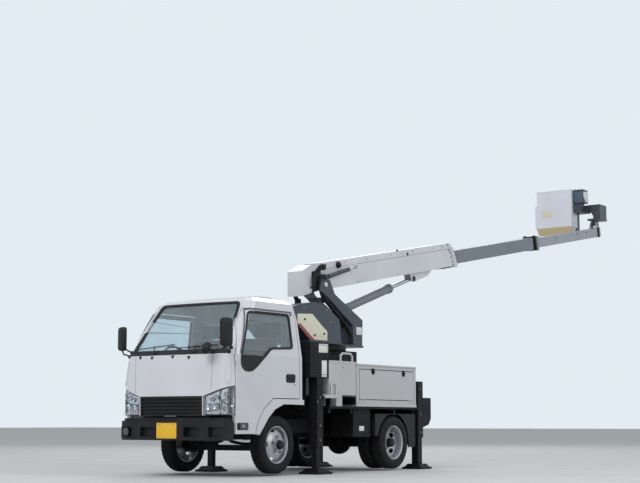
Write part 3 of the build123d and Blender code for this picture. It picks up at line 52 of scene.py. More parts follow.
SIDES = (("left", 1), ("right", -1))


# Camera

LENS = 78.75
SENSOR = 36.0
CLIP_END = 400
CAMERA_AT = (10.9224, -13.7484, 0.6382)
CAMERA_RISE = 7.365    # degrees above level
CAMERA_TURN = 34.689   # degrees to the left of the Y axis


def link(obj):
    bpy.context.scene.collection.objects.link(obj)
    return obj


cam_data = bpy.data.cameras.new("view_camera")
cam_data.lens = LENS
cam_data.sensor_width = SENSOR
cam_data.sensor_fit = "HORIZONTAL"
cam_data.clip_end = CLIP_END
cam = link(bpy.data.objects.new("view_camera", cam_data))
cam.location = CAMERA_AT
cam.rotation_euler = (math.radians(90 + CAMERA_RISE), 0, math.radians(CAMERA_TURN))
bpy.context.scene.camera = cam


# Materials

def lin(r, g, b):
    """Screen colour, 0 to 255, as linear values."""
    out = []
    for v in (r, g, b):
        v = v / 255
        out.append(v / 12.92 if v <= 0.04045 else ((v + 0.055) / 1.055) ** 2.4)
    return (*out, 1.0)


PAINT_DUST = lin(112, 108, 102)
PAINT_CHIP = lin(104, 103, 104)
PLASTIC_DUST = lin(132, 130, 126)
RUBBER_DUST = lin(112, 108, 104)
GLASS_HAZE = lin(190, 195, 196)
OIL = lin(40, 36, 32)
DUST_LINE = (0.25, 1.3)    # heights between which road dust fades
STREAKS = (3, 90, 90)
PAINTS = (
    # name, screen colour, gloss, coat, dust, more
    ("cab_paint", (209, 210, 214), 0.2, 0.8, 0.06, {}),
    ("body_paint", (190, 189, 191), 0.36, 0.3, 0.06, {}),
    ("chassis_paint", (14, 14, 17), 0.55, 0.0, 0.02, {"worn": 0.08, "sheen": 0.2}),
    ("jack_paint", (15, 15, 18), 0.5, 0.0, 0.02, {"worn": 0.08, "sheen": 0.2}),
    ("turret_paint", (49, 56, 69), 0.38, 0.2, 0.0, {}),
    ("boom_paint", (212, 213, 218), 0.34, 0.3, 0.0, {}),
    ("boom_mid_paint", (112, 120, 130), 0.4, 0.2, 0.0, {}),
    ("boom_outer_paint", (158, 163, 172), 0.4, 0.2, 0.0, {}),
    ("bucket_shell", (228, 230, 240), 0.3, 0.4, 0.0, {"peel": 0.2}),
    ("rim_paint", (182, 184, 190), 0.34, 0.4, 0.25, {"metal": 0.35, "worn": 0.2}),
    ("tail_lens", (150, 20, 18), 0.12, 0.9, 0.1, {}),
    ("gap_shade", (96, 100, 108), 0.6, 0.0, 0.0, {}),
    ("amber_lens", (230, 130, 30), 0.1, 0.9, 0.0, {}),
    ("plate_paint", (240, 188, 40), 0.35, 0.3, 0.0, {}),
    ("label_film", (226, 226, 224), 0.3, 0.4, 0.0, {}),
    ("control_blue", (66, 84, 102), 0.4, 0.2, 0.0, {}),
    # painted bounce light: warm reflected light and shade on the bucket's underside, as a colour
    ("ochre_paint", (214, 194, 152), 0.4, 0.2, 0.0, {}),
    ("cream_paint", (226, 222, 200), 0.34, 0.3, 0.0, {}),
    ("warning_red", (170, 34, 34), 0.3, 0.4, 0.0, {}),
)
METALS = (
    # name, screen colour, roughness, grease
    ("dark_iron", (70, 68, 66), 0.6, 0.3),
    ("rod_chrome", (214, 216, 220), 0.12, 0.12),
    ("bright_steel", (160, 160, 162), 0.38, 0.3),
    ("mirror_glass", (225, 230, 235), 0.03, 0.02),
    ("lamp_chrome", (215, 220, 228), 0.08, 0.03),
)
GLASSES = (
    # name, screen colour, roughness, share let through
    ("window_glass", (228, 240, 246), 0.015, 0.92),
    ("lamp_glass", (250, 252, 254), 0.02, 0.92),
    ("smoke_plastic", (120, 124, 130), 0.05, 0.7),
)
RUBBERS = (("tyre_rubber", (0.007, 0.007, 0.008, 1)), ("hose_rubber", (0.012, 0.012, 0.013, 1)))
PLASTIC_BLACK = lin(14, 14, 16)
SEAT_GREY = lin(78, 80, 84)


def scale_rgb(colour, k):
    return (*[min(1.0, v * k) for v in colour[:3]], 1.0)


class Nodes:
    """A short way to write a material's node tree."""

    def __init__(self, name):
        self.mat = bpy.data.materials.new(name)
        self.mat.use_nodes = True
        self.tree = self.mat.node_tree
        self.tree.nodes.clear()
        self.out = self.tree.nodes.new("ShaderNodeOutputMaterial")
        self.shader = self.tree.nodes.new("ShaderNodeBsdfPrincipled")
        self.join(self.shader.outputs[0], self.out.inputs["Surface"])
        self.coord = self.tree.nodes.new("ShaderNodeTexCoord").outputs["Object"]

    def join(self, a, b):
        self.tree.links.new(a, b)

    def give(self, value, socket):
        """A fixed value or another node's output for a socket."""
        if isinstance(value, (int, float, tuple)):
            socket.default_value = value
        else:
            self.join(value, socket)

    def set(self, **values):
        for key, value in values.items():
            self.shader.inputs[key.replace("_", " ")].default_value = value

    def noise(self, scale, detail=3, rough=0.5, stretch=None):
        node = self.tree.nodes.new("ShaderNodeTexNoise")
        for key, v in (("Scale", scale), ("Detail", detail), ("Roughness", rough)):
            node.inputs[key].default_value = v
        vector = self.coord
        if stretch:
            mapping = self.tree.nodes.new("ShaderNodeMapping")
            mapping.inputs["Scale"].default_value = stretch
            self.join(self.coord, mapping.inputs["Vector"])
            vector = mapping.outputs[0]
        self.join(vector, node.inputs["Vector"])
        return node.outputs["Fac"]

    def ramp(self, value, low, high, to_low=0.0, to_high=1.0):
        node = self.tree.nodes.new("ShaderNodeMapRange")
        node.clamp = True
        for key, v in (("From Min", low), ("From Max", high), ("To Min", to_low), ("To Max", to_high)):
            node.inputs[key].default_value = v
        self.join(value, node.inputs["Value"])
        return node.outputs[0]

    def mix(self, factor, a, b):
        node = self.tree.nodes.new("ShaderNodeMix")
        node.data_type = "RGBA"
        for value, number in ((factor, 0), (a, 6), (b, 7)):
            self.give(value, node.inputs[number])
        return node.outputs[2]

    def math(self, kind, a, b):
        node = self.tree.nodes.new("ShaderNodeMath")
        node.operation = kind
        self.give(a, node.inputs[0])
        self.give(b, node.inputs[1])
        return node.outputs[0]

    def height(self):
        """Height above the ground, from the object's own coordinates."""
        node = self.tree.nodes.new("ShaderNodeSeparateXYZ")
        self.join(self.coord, node.inputs[0])
        return node.outputs[2]

    def edges(self, low, high):
        """1 on outer edges, 0 on flats."""
        geometry = self.tree.nodes.new("ShaderNodeNewGeometry")
        return self.ramp(geometry.outputs["Pointiness"], low, high)

    def colour(self, value):
        self.join(value, self.shader.inputs["Base Color"])

    def rough(self, value):
        self.join(value, self.shader.inputs["Roughness"])

    def bump(self, value, strength, distance):
        node = self.tree.nodes.new("ShaderNodeBump")
        node.inputs["Strength"].default_value = strength
        node.inputs["Distance"].default_value = distance
        self.join(value, node.inputs["Height"])
        self.join(node.outputs[0], self.shader.inputs["Normal"])


def painted(name, colour, gloss, coat, grime, metal=0.0, worn=0.0, peel=0.12, sheen=0.5):
    """Sprayed paint: slow colour drift, road dust low down, orange peel, worn edges."""
    n = Nodes(name)
    drift = n.ramp(n.noise(1.3, 4), 0.3, 0.7)
    base = n.mix(drift, scale_rgb(colour, 0.93), scale_rgb(colour, 1.03))
    cloud = n.ramp(n.noise(5, 5, 0.6), 0.35, 0.75, 0.3, 1.0)
    low = n.ramp(n.height(), *DUST_LINE, grime, 0.0)
    base = n.mix(n.math("MULTIPLY", cloud, low), base, PAINT_DUST)
    if worn:
        chips = n.math("MULTIPLY", n.edges(0.53, 0.6), n.ramp(n.noise(30, 3, 0.6), 0.5, 0.66, 0.0, worn))
        base = n.mix(chips, base, PAINT_CHIP)
    n.colour(base)
    n.rough(n.ramp(n.noise(9, 5, 0.6), 0.25, 0.75, gloss * 0.8, gloss * 1.35))
    n.set(Metallic=metal, Coat_Weight=coat, Coat_Roughness=0.08, Specular_IOR_Level=sheen)
    n.bump(n.noise(260, 2), peel, 0.0006)
    return n.mat


def moulded(name, colour):
    """Textured plastic with faded, dusty high spots."""
    n = Nodes(name)
    fade = n.ramp(n.noise(3.1, 4), 0.35, 0.7)
    base = n.mix(fade, colour, scale_rgb(colour, 1.35))
    dust = n.ramp(n.noise(7, 5, 0.6), 0.45, 0.8, 0.0, 0.07)
    n.colour(n.mix(dust, base, PLASTIC_DUST))
    n.rough(n.ramp(n.noise(14, 4), 0.3, 0.7, 0.425, 0.6))
    n.set(Specular_IOR_Level=0.32)
    n.bump(n.noise(420, 3, 0.6), 0.25, 0.0008)
    return n.mat


def metal(name, colour, rough, grease):
    """Bare metal with drawn streaks and a little grease."""
    n = Nodes(name)
    tone = n.ramp(n.noise(4, 5, 0.6), 0.3, 0.75)
    base = n.mix(tone, scale_rgb(colour, 0.8), colour)
    spots = n.ramp(n.noise(17, 5, 0.7), 0.55, 0.75, 0.0, grease)
    n.colour(n.mix(spots, base, OIL))
    lines = n.noise(6, 4, 0.6, STREAKS)
    n.rough(n.ramp(lines, 0.3, 0.7, rough * 0.7, rough * 1.4))
    n.set(Metallic=1.0)
    n.bump(lines, 0.12, 0.0006)
    return n.mat


def rubber(name, colour):
    """Black rubber, dull and a little dusty."""
    n = Nodes(name)
    base = n.mix(n.ramp(n.noise(7, 5, 0.65), 0.4, 0.75), colour, scale_rgb(colour, 2.0))
    dust = n.ramp(n.noise(9, 5, 0.65), 0.45, 0.8, 0.0, 0.06)
    n.colour(n.mix(dust, base, RUBBER_DUST))
    n.rough(n.ramp(n.noise(30, 4), 0.3, 0.7, 0.6, 0.85))
    n.set(Specular_IOR_Level=0.25)
    n.bump(n.noise(330, 4, 0.7), 0.3, 0.0012)
    return n.mat


def glass(name, tint, rough, weight):
    """Clear glass or plastic with a light haze."""
    n = Nodes(name)
    haze = n.ramp(n.noise(3, 5, 0.6), 0.45, 0.8, 0.0, 0.12)
    n.colour(n.mix(haze, tint, GLASS_HAZE))
    n.rough(n.ramp(n.noise(5, 5), 0.4, 0.8, rough, rough + 0.05))
    n.set(Transmission_Weight=weight, IOR=1.45)
    n.bump(n.noise(2.2, 2), 0.02, 0.002)
    return n.mat


def cloth(name, colour):
    """Woven seat cloth."""
    n = Nodes(name)
    wave = n.tree.nodes.new("ShaderNodeTexWave")
    wave.inputs["Scale"].default_value = 190
    wave.inputs["Distortion"].default_value = 1.2
    n.join(n.coord, wave.inputs["Vector"])
    base = n.mix(wave.outputs["Fac"], scale_rgb(colour, 0.8), scale_rgb(colour, 1.2))
    n.colour(n.mix(n.ramp(n.noise(6, 4), 0.4, 0.7, 0, 0.3), base, scale_rgb(colour, 1.7)))
    n.rough(n.ramp(n.noise(12, 3), 0.3, 0.7, 0.8, 0.95))
    n.set(Sheen_Weight=0.3)
    n.bump(wave.outputs["Fac"], 0.3, 0.001)
    return n.mat


MATS = {name: painted(name, lin(*rgb), *look, **more) for name, rgb, *look, more in PAINTS}
for make, table in ((metal, METALS), (glass, GLASSES)):
    MATS.update({name: make(name, lin(*rgb), *look) for name, rgb, *look in table})
MATS.update({name: rubber(name, colour) for name, colour in RUBBERS})
MATS["black_plastic"] = moulded("black_plastic", PLASTIC_BLACK)
MATS["seat_cloth"] = cloth("seat_cloth", SEAT_GREY)


def dress(node, name):
    NODES[node].data.materials.clear()
    NODES[node].data.materials.append(MATS[name])


for entry in frame["record"]["subparts"]:
    dress(entry["node"], entry["material_slot"])
for node in ("level_barrel", "tip_bracket"):
    dress(node, "turret_paint")


# Places read from the picture and from the carried-over nodes

IMAGE = (640, 483)
FOCAL = LENS / SENSOR * IMAGE[0]
TURN = cam.rotation_euler.to_matrix()
NEAR = 2.0             # start of a line laid on a side or front face
FRONT = ("y", -NEAR)
TREES = {}


def tree_of(name):
    if name not in TREES:
        bm = bmesh.new()
        bm.from_mesh(NODES[name].data)
        bm.transform(NODES[name].matrix_world)
        TREES[name] = BVHTree.FromBMesh(bm)
        bm.free()
    return TREES[name]


def hit(name, start, way):
    """Point and outward normal where a line meets a node's surface."""
    way = Vector(way).normalized()
    place, normal, _, _ = tree_of(name).ray_cast(Vector(start), way)
    if place is None:
        raise ValueError(f"{name}: nothing at {tuple(start)}")
    return place, (normal if normal.dot(way) < 0 else -normal)


def on_side(name, way, y, z):
    """Point and normal on a node's left side, or its right where way is -1."""
    return hit(name, (NEAR * way, y, z), (-way, 0, 0))


def on_front(name, x, z):
    return hit(name, (x, -NEAR, z), (0, 1, 0))


def sight(px, py):
    """Direction of the line of sight through a pixel."""
    return TURN @ Vector(((px - IMAGE[0] / 2) / FOCAL, (IMAGE[1] / 2 - py) / FOCAL, -1)).normalized()


def seen(name, px, py):
    """Point and normal that a pixel shows on a node."""
    return hit(name, cam.location, sight(px, py))


def sight_at(axis, value, px, py):
    """Point where a line of sight crosses a plane square to an axis."""
    way = sight(px, py)
    return cam.location + way * ((value - cam.location[axis]) / way[axis])


# Outlines and lines

ARC_STEPS = 5
FINE, COARSE = 0.03, 0.05     # steps along a line
BEVEL_FROM = 28        # degrees between two faces
ROUNDNESS = 0.6
SWAP = {"x": lambda u, v, w: (w, u, v), "y": lambda u, v, w: (u, w, v), "z": lambda u, v, w: (u, v, w)}


def rectangle(u0, v0, u1, v1):
    return ((u0, v0), (u1, v0), (u1, v1), (u0, v1))


def arc(points, radius, steps=ARC_STEPS):
    """A closed outline with its corners rounded."""
    out = []
    n = len(points)
    for i in range(n):
        p = Vector(points[i])
        a = Vector(points[i - 1]) - p
        b = Vector(points[(i + 1) % n]) - p
        r = min(radius, a.length * 0.45, b.length * 0.45)
        start, end = p + a.normalized() * r, p + b.normalized() * r
        for k in range(steps + 1):
            t = k / steps
            out.append(tuple(start * (1 - t) ** 2 + p * 2 * t * (1 - t) + end * t * t))
    return out


def rounded(half_u, half_v, radius):
    return arc(rectangle(-half_u, -half_v, half_u, half_v), radius, 6)


def dense(points, step, closed=True):
    """The same line with points no further apart than a step."""
    out = []
    n = len(points)
    for i in range(n if closed else n - 1):
        a, b = Vector(points[i]), Vector(points[(i + 1) % n])
        k = max(1, math.ceil((b - a).length / step))
        out += [tuple(a.lerp(b, j / k)) for j in range(k)]
    if not closed:
        out.append(tuple(points[-1]))
    return out


def curve_through(points, steps=8):
    """A smooth line through a few points."""
    pts = [Vector(p) for p in points]
    pts = [pts[0] * 2 - pts[1], *pts, pts[-1] * 2 - pts[-2]]
    out = []
    for i in range(1, len(pts) - 2):
        a, b, c, d = pts[i - 1:i + 3]
        for k in range(steps):
            t = k / steps
            out.append(0.5 * (2 * b + (c - a) * t + (2 * a - 5 * b + 4 * c - d) * t * t
                              + (3 * b - a - 3 * c + d) * t ** 3))
    out.append(pts[-2])
    return out


def circle(steps):
    """Cosine and sine of each step round a circle."""
    return [(math.cos(2 * math.pi * k / steps), math.sin(2 * math.pi * k / steps)) for k in range(steps)]


def scaled(rows, radius):
    """Rows of share and height as rows of radius and height."""
    return [(share * radius, high) for share, high in rows]


def mirrored(points, way):
    return [(u * way, v) for u, v in points]


class Piece:
    """Collects solids into one mesh that rides on a body."""

    def __init__(self, name, body, slot="black_plastic", mat=None):
        self.name, self.body, self.slot, self.mat = name, body, slot, MATS[mat or slot]
        self.bm = bmesh.new()

    def skin(self, sections, closed=False):
        """A skin over sections, each a closed loop of as many points."""
        rows = [[self.bm.verts.new(p) for p in s] for s in sections]
        pairs = list(zip(rows, rows[1:])) + ([(rows[-1], rows[0])] if closed else [])
        k = len(rows[0])
        faces = []
        for a, b in pairs:
            for i in range(k):
                j = (i + 1) % k
                faces.append(self.bm.faces.new((a[i], a[j], b[j], b[i])))
        if not closed:
            faces.append(self.bm.faces.new(rows[0][::-1]))
            faces.append(self.bm.faces.new(rows[-1]))
        bmesh.ops.recalc_face_normals(self.bm, faces=faces)
        return self

    def prism(self, outline, axis, a, b):
        at = SWAP[axis]
        return self.skin([[at(u, v, w) for u, v in outline] for w in (a, b)])

    def box(self, low, high, way=1):
        """A block between two corners, on the right where way is -1."""
        (x0, y0, z0), (x1, y1, z1) = low, high
        x0, x1 = sorted((x0 * way, x1 * way))
        return self.prism(rectangle(x0, y0, x1, y1), "z", z0, z1)

    def turned(self, profile, centre, way, steps=20):
        """Rows of radius and height spun round an axis; the first and last rows are closed."""
        turn = Vector(way).to_track_quat("Z", "Y").to_matrix()
        centre = Vector(centre)
        ring = circle(steps)
        return self.skin([[centre + turn @ Vector((r * c, r * s, high)) for c, s in ring]
                          for r, high in profile])

    def tube(self, points, radius, sides=10):
        points = [Vector(p) for p in points]
        rings = []
        up = None
        for i, p in enumerate(points):
            along = (points[min(i + 1, len(points) - 1)] - points[max(i - 1, 0)]).normalized()
            up = along.orthogonal() if up is None else up - along * up.dot(along)
            up.normalize()
            side = along.cross(up)
            rings.append([p + (up * c + side * s) * radius for c, s in circle(sides)])
        return self.skin(rings)

    def ribbon(self, node, line, face, across, proud, sink=0.003, closed=False):
        """A band along a line drawn square to an axis, laid on a node's surface."""
        axis, start = face
        at = SWAP[axis]
        way = at(0, 0, -math.copysign(1, start))
        laid = [hit(node, at(u, v, start), way) for u, v in line]
        sections = []
        n = len(laid)
        low, high = across
        for i, (p, normal) in enumerate(laid):
            a = laid[(i - 1) % n if closed else max(i - 1, 0)][0]
            b = laid[(i + 1) % n if closed else min(i + 1, n - 1)][0]
            side = normal.cross((b - a).normalized())
            sections.append([p + side * low - normal * sink, p + side * high - normal * sink,
                             p + side * high + normal * proud, p + side * low + normal * proud])
        return self.skin(sections, closed=closed)

    def patch(self, node, outline, face, proud, sink=0.002, cuts=2):
        """A sheet on a node's surface, its outline drawn square to an axis."""
        axis, start = face
        at = SWAP[axis]
        way = at(0, 0, -math.copysign(1, start))
        bm = bmesh.new()
        bm.faces.new([bm.verts.new(at(u, v, start)) for u, v in outline])
        bmesh.ops.triangulate(bm, faces=bm.faces[:])
        if cuts:
            bmesh.ops.subdivide_edges(bm, edges=bm.edges[:], cuts=cuts, use_grid_fill=True)
        laid = {v: hit(node, v.co, way) for v in bm.verts}
        top = {v: self.bm.verts.new(p + n * proud) for v, (p, n) in laid.items()}
        low = {v: self.bm.verts.new(p - n * sink) for v, (p, n) in laid.items()}
        faces = [self.bm.faces.new([top[v] for v in f.verts]) for f in bm.faces]
        faces += [self.bm.faces.new([low[v] for v in reversed(f.verts)]) for f in bm.faces]
        for e in bm.edges:
            if len(e.link_faces) == 1:
                a, b = e.verts
                faces.append(self.bm.faces.new((top[a], low[a], low[b], top[b])))
        bmesh.ops.recalc_face_normals(self.bm, faces=faces)
        bm.free()
        return self

    def bolt(self, place, normal, size, high):
        """A hexagon head on a washer."""
        self.turned(((size * 1.25, -0.002), (size * 1.25, 0.002), (size, 0.0021)), place, normal)
        return self.turned(((size, 0.002), (size, high * 0.85), (size * 0.85, high)), place, normal, 6)

    def done(self, bevel=0.0, soft=32):
        """The finished object, its edges rounded and smooth where flatter than soft degrees."""
        if bevel:
            sharp = math.radians(BEVEL_FROM)
            edges = [e for e in self.bm.edges if len(e.link_faces) == 2 and e.calc_face_angle(0) > sharp]
            bmesh.ops.bevel(self.bm, geom=edges, offset=bevel, segments=2, profile=ROUNDNESS, affect="EDGES",
                            clamp_overlap=True)
        for f in self.bm.faces:
            f.smooth = True
        for e in self.bm.edges:
            if len(e.link_faces) == 2:
                e.smooth = e.calc_face_angle(0) < math.radians(soft)
        mesh = bpy.data.meshes.new(self.name)
        self.bm.to_mesh(mesh)
        self.bm.free()
        mesh.materials.append(self.mat)
        obj = link(bpy.data.objects.new(self.name, mesh))
        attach(obj, self.body)
        return obj


def side_bolts(name, body, slot, way, rows):
    """Bolts on a side, each row a node, size, height and places."""
    bolts = Piece(name, body, slot)
    for node, size, high, places in rows:
        for y, z in places:
            bolts.bolt(*on_side(node, way, y, z), size, high)
    bolts.done()


def label(name, body, node, corners, mat, proud=0.0012, slot="body_paint"):
    """A blank sticker between four pixels of the picture, laid on a node."""
    laid = [seen(node, *c) for c in corners]
    sheets = [[p + n * lift for p, n in laid] for lift in (-0.002, proud)]
    Piece(name, body, slot, mat).skin(sheets).done(0.0004)


# Cab: screen, doors and panels

SCREEN = arc(((-0.728, 1.485), (0.728, 1.485), (0.605, 2.07), (-0.605, 2.07)), 0.06)
SCREEN_MIDDLE = 1.78
SCREEN_SEAL = ((1.022, 1.045), (0.955, 0.925))     # outer and inner edge as shares of the screen
SEAL_SINK = 0.003
SEAL_LIP_SINK = 0.014
SCREEN_LIPS = (0.004, 0.002)     # proud of the panel, of the glass
DOOR_LIPS = (0.003, 0.001)
COWL = arc(((-0.748, 1.436), (0.748, 1.436), (0.735, 1.492), (-0.735, 1.492)), 0.02)
COWL_PROUD, COWL_EDGE = 0.006, 0.002
CLIPS = ((-0.556, 1.408), (-0.356, 1.402), (-0.024, 1.407), (0.224, 1.393))
CLIP = ((-0.024, 0.022), (0.024, 0.022), (0.006, -0.014), (-0.006, -0.014))
CLIP_PROUD, CLIP_EDGE = 0.008, 0.003
WIPERS = (
    # foot, blade's ends
    ((-0.33, 1.462), (-0.66, 1.515), (-0.08, 1.56)),
    ((0.28, 1.462), (-0.02, 1.512), (0.58, 1.54)),
)
WIPER_HUB = ((0.022, -0.004), (0.022, 0.012), (0.014, 0.022))
WIPER_BLADE = ((0.0005, 0.002), (0.012, 0.005), (0.022, -0.004), (0.012, -0.006))     # off the glass, up
WIPER_STEPS = 8
WIPER_LIFTS = (0.014, 0.034, 0.024)     # the arm's foot, middle and end off the glass
WIPER_ARM_R = 0.0065
WIPER_EDGE = 0.0015
PANEL_SEAM = ((-0.002, 0.002), 0.0006)     # across, proud
PANEL_SEAMS = (((-0.639, 1.425), (-0.568, 0.985)), ((0.566, 1.425), (0.597, 1.022)))
DOOR_GLASS = arc(((0.238, 1.538), (-0.205, 1.518), (-0.5, 1.3), (-0.6, 1.24), (-0.735, 1.24),
                  (-0.805, 1.3), (-0.806, 1.42), (-0.56, 1.952), (0.225, 1.955)), 0.05)
DOOR_SEAL = (0.01, 0.03)     # beyond the glass, width
QUARTER = arc(((-0.798, 1.425), (-0.797, 1.306), (-0.733, 1.248), (-0.603, 1.248), (-0.5, 1.312),
               (-0.33, 1.425)), 0.03)
VISOR = ((-0.818, 1.44), (-0.583, 1.968), (-0.545, 1.981), (0.242, 1.984), (0.262, 1.94))
HANDLE = arc(rectangle(0.083, 1.118, 0.271, 1.223), 0.032)
HANDLE_GRIP = arc(rectangle(0.095, 1.178, 0.259, 1.215), 0.012)
KEYHOLE = (0.271, 1.094)
LOCK = ((0.012, -0.001), (0.012, 0.002), (0.009, 0.003), (0.003, 0.003), (0.003, 0.001))
CREASE = ((-0.883, 0.966), (-0.175, 0.968), (0.35, 0.97))
TURN_LAMP = arc(rectangle(-0.875, 0.551, -0.666, 0.634), 0.014)
TURN_LENS = arc(rectangle(-0.822, 0.559, -0.696, 0.626), 0.01)
TURN_BULB = (-0.759, 0.5925)
TURN_BULB_ROWS = ((0.016, 0.003), (0.016, 0.007), (0.009, 0.0105))
CORNER_PAD = arc(((0.752, 1.395), (0.8, 1.37), (0.812, 1.075), (0.772, 1.105)), 0.02)
CORNER_PROUD, CORNER_EDGE = 0.009, 0.003
DOOR_SHEETS = (
    # name, node, slot, edge, then outline, proud and cuts of each sheet
    ("quarter_cover", "door_glass", "black_plastic", 0.002, ((QUARTER, 0.01, 3),)),
    ("door_handle", "door", "black_plastic", 0.003, ((HANDLE, 0.004, 1), (HANDLE_GRIP, 0.016, 0))),
    ("turn_lamp_base", "door", "black_plastic", 0.002, ((TURN_LAMP, 0.004, 1),)),
    ("turn_lamp_lens", "door", "lamp_glass", 0.004, ((TURN_LENS, 0.013, 1),)),
)
DOOR_LINES = (
    # name, slot, material, line, step, half width, proud, edge
    ("rain_visor", "window_glass", "smoke_plastic", VISOR, 0.04, 0.008, 0.012, 0.002),
    ("door_crease", "cab_paint", None, CREASE, COARSE, 0.003, 0.0012, 0),
)


def seal_section(p, normal, inward, lift, lip):
    """A seal's four corners, from the panel in to the glass."""
    inward = inward - normal * inward.dot(normal)
    lip_at = p + inward
    return [p - normal * SEAL_SINK, p + normal * lift, lip_at + normal * lip, lip_at - normal * SEAL_LIP_SINK]


sections = []
for u, v in dense(SCREEN, COARSE):
    outer, inner = [Vector((u * kx, 0, SCREEN_MIDDLE + (v - SCREEN_MIDDLE) * kz)) for kx, kz in SCREEN_SEAL]
    p, normal = on_front("cab_shell", outer.x, outer.z)
    sections.append(seal_section(p, normal, inner - outer, *SCREEN_LIPS))
Piece("screen_seal", "cab").skin(sections, closed=True).done()

Piece("cowl", "cab").patch("cab_shell", COWL, FRONT, COWL_PROUD, cuts=4).done(COWL_EDGE)

piece = Piece("cowl_clips", "cab")
for x, z in CLIPS:
    piece.patch("cab_shell", [(x + u, z + v) for u, v in CLIP], FRONT, CLIP_PROUD, cuts=0)
piece.done(CLIP_EDGE)

piece = Piece("wipers", "cab")
for foot, low, high in WIPERS:
    base, normal = on_front("cab_shell", *foot)
    piece.turned(WIPER_HUB, base, normal)
    laid = [on_front("cab_glass", *Vector(low).lerp(high, k / WIPER_STEPS)) for k in range(WIPER_STEPS + 1)]
    piece.skin([[p + n * off + Vector((0, 0, up)) for off, up in WIPER_BLADE] for p, n in laid])
    mid, n = laid[WIPER_STEPS // 2]
    a, b, c = WIPER_LIFTS
    arm = (base + normal * a, base.lerp(mid, 0.5) + n * b, mid + n * c)
    piece.tube(curve_through(arm, 6), WIPER_ARM_R, 8)
piece.done(WIPER_EDGE)

piece = Piece("front_seams", "cab", "chassis_paint", "gap_shade")
for line in PANEL_SEAMS:
    piece.ribbon("cab_shell", dense(line, FINE, closed=False), FRONT, *PANEL_SEAM)
piece.done()

for side, way in SIDES:
    door, body, face = f"door_{side}", f"cab_door_{side}", ("x", NEAR * way)
    loop = dense(DOOR_GLASS, COARSE)
    sections = []
    for i, here in enumerate(loop):
        along = (Vector(loop[(i + 1) % len(loop)]) - Vector(loop[i - 1])).normalized()
        out = Vector((-along.y, along.x))
        edge = Vector(here) + out * DOOR_SEAL[0]
        p, normal = on_side(door, way, edge.x, edge.y)
        sections.append(seal_section(p, normal, Vector((0, -out.x, -out.y)) * DOOR_SEAL[1], *DOOR_LIPS))
    Piece(f"window_seal_{side}", body).skin(sections, closed=True).done()

    for name, node, slot, edge, sheets in DOOR_SHEETS:
        piece = Piece(f"{name}_{side}", body, slot)
        for outline, proud, cuts in sheets:
            piece.patch(f"{node}_{side}", outline, face, proud, cuts=cuts)
        piece.done(edge)
    for name, slot, mat, line, step, half, proud, edge in DOOR_LINES:
        Piece(f"{name}_{side}", body, slot, mat).ribbon(
            door, dense(line, step, closed=False), face, (-half, half), proud).done(edge)
    p, normal = on_side(door, way, *KEYHOLE)
    Piece(f"door_lock_{side}", body, "bright_steel").turned(LOCK, p, normal).done()
    p, normal = on_side(door, way, *TURN_BULB)
    Piece(f"turn_lamp_bulb_{side}", body, "bright_steel", "lamp_chrome").turned(
        TURN_BULB_ROWS, p, normal).done()

for name, way in (("corner_pad", 1), ("corner_pad_right", -1)):
    Piece(name, "cab", "cab_paint").patch(
        "cab_shell", mirrored(CORNER_PAD, way), FRONT, CORNER_PROUD, cuts=3).done(CORNER_EDGE)


# Cab: mirrors

MIRROR_SIZE = (0.15, 0.055, 0.33)
MIRROR_HEADS = (
    # x, y, z, turn, foot's x, foot's z, share of the height
    (0.93, -1.2, 1.67, 20, 0.762, 1.475, 1.0),
    (-0.948, -0.9, 1.662, -20, -0.775, 1.455, 0.9),
)
# share of depth, share of outline
MIRROR_SHELL = ((-0.5, 0.62), (-0.43, 0.84), (-0.225, 0.96), (0.15, 1.0), (0.5, 0.99))
# distance behind the shell's rear face, share of outline
MIRROR_PANE = ((-0.002, 0.9), (0.0015, 0.9), (0.002, 0.87))
MIRROR_CORNER = 0.05
STAYS = ((0.06, 0.03), (0.145, -0.02))     # drop at the head, rise at the foot
STAY_R = 0.0095
STAY_OFF = 0.05        # straight out of the foot
STAY_IN = (0.03, 0.01)     # inward of the head, at the bend and at the end
STAY_FLANGE = ((0.026, -0.004), (0.026, 0.008), (0.016, 0.018))
ROUND_MIRROR_PX = (206.5, 348.0)
ROUND_MIRROR_Y = -1.13
ROUND_MIRROR_R = 0.074
ROUND_MIRROR_WAY = (0.25, 0.9, -0.35)
ROUND_FOOT = (-0.03, 1.452)     # from the mirror's middle, height
ROUND_STAY = (0.045, 0.03, 0.04)     # behind the mirror, below it, end
ROUND_STAY_R = 0.009
ROUND_FLANGE = ((0.024, -0.004), (0.024, 0.008), (0.016, 0.016))
ROUND_SHELL = ((0.35, -0.052), (0.7, -0.042), (0.93, -0.022), (1.0, 0.0), (1.0, 0.01), (0.94, 0.012))
ROUND_PANE = ((0.9, 0.011), (0.6, 0.016), (0.2, 0.018))


def mirror_rows(piece, rows, centre, turn, tall):
    """Rows of depth and share of a mirror's outline, skinned."""
    w, _, h = (v / 2 for v in MIRROR_SIZE)
    spin = Matrix.Rotation(math.radians(turn), 3, "Z")
    outline = rounded(w, h, MIRROR_CORNER)
    piece.skin([[centre + spin @ Vector((u * k, depth, v * tall * (1 - (1 - k) * 0.5))) for u, v in outline]
                for depth, k in rows])


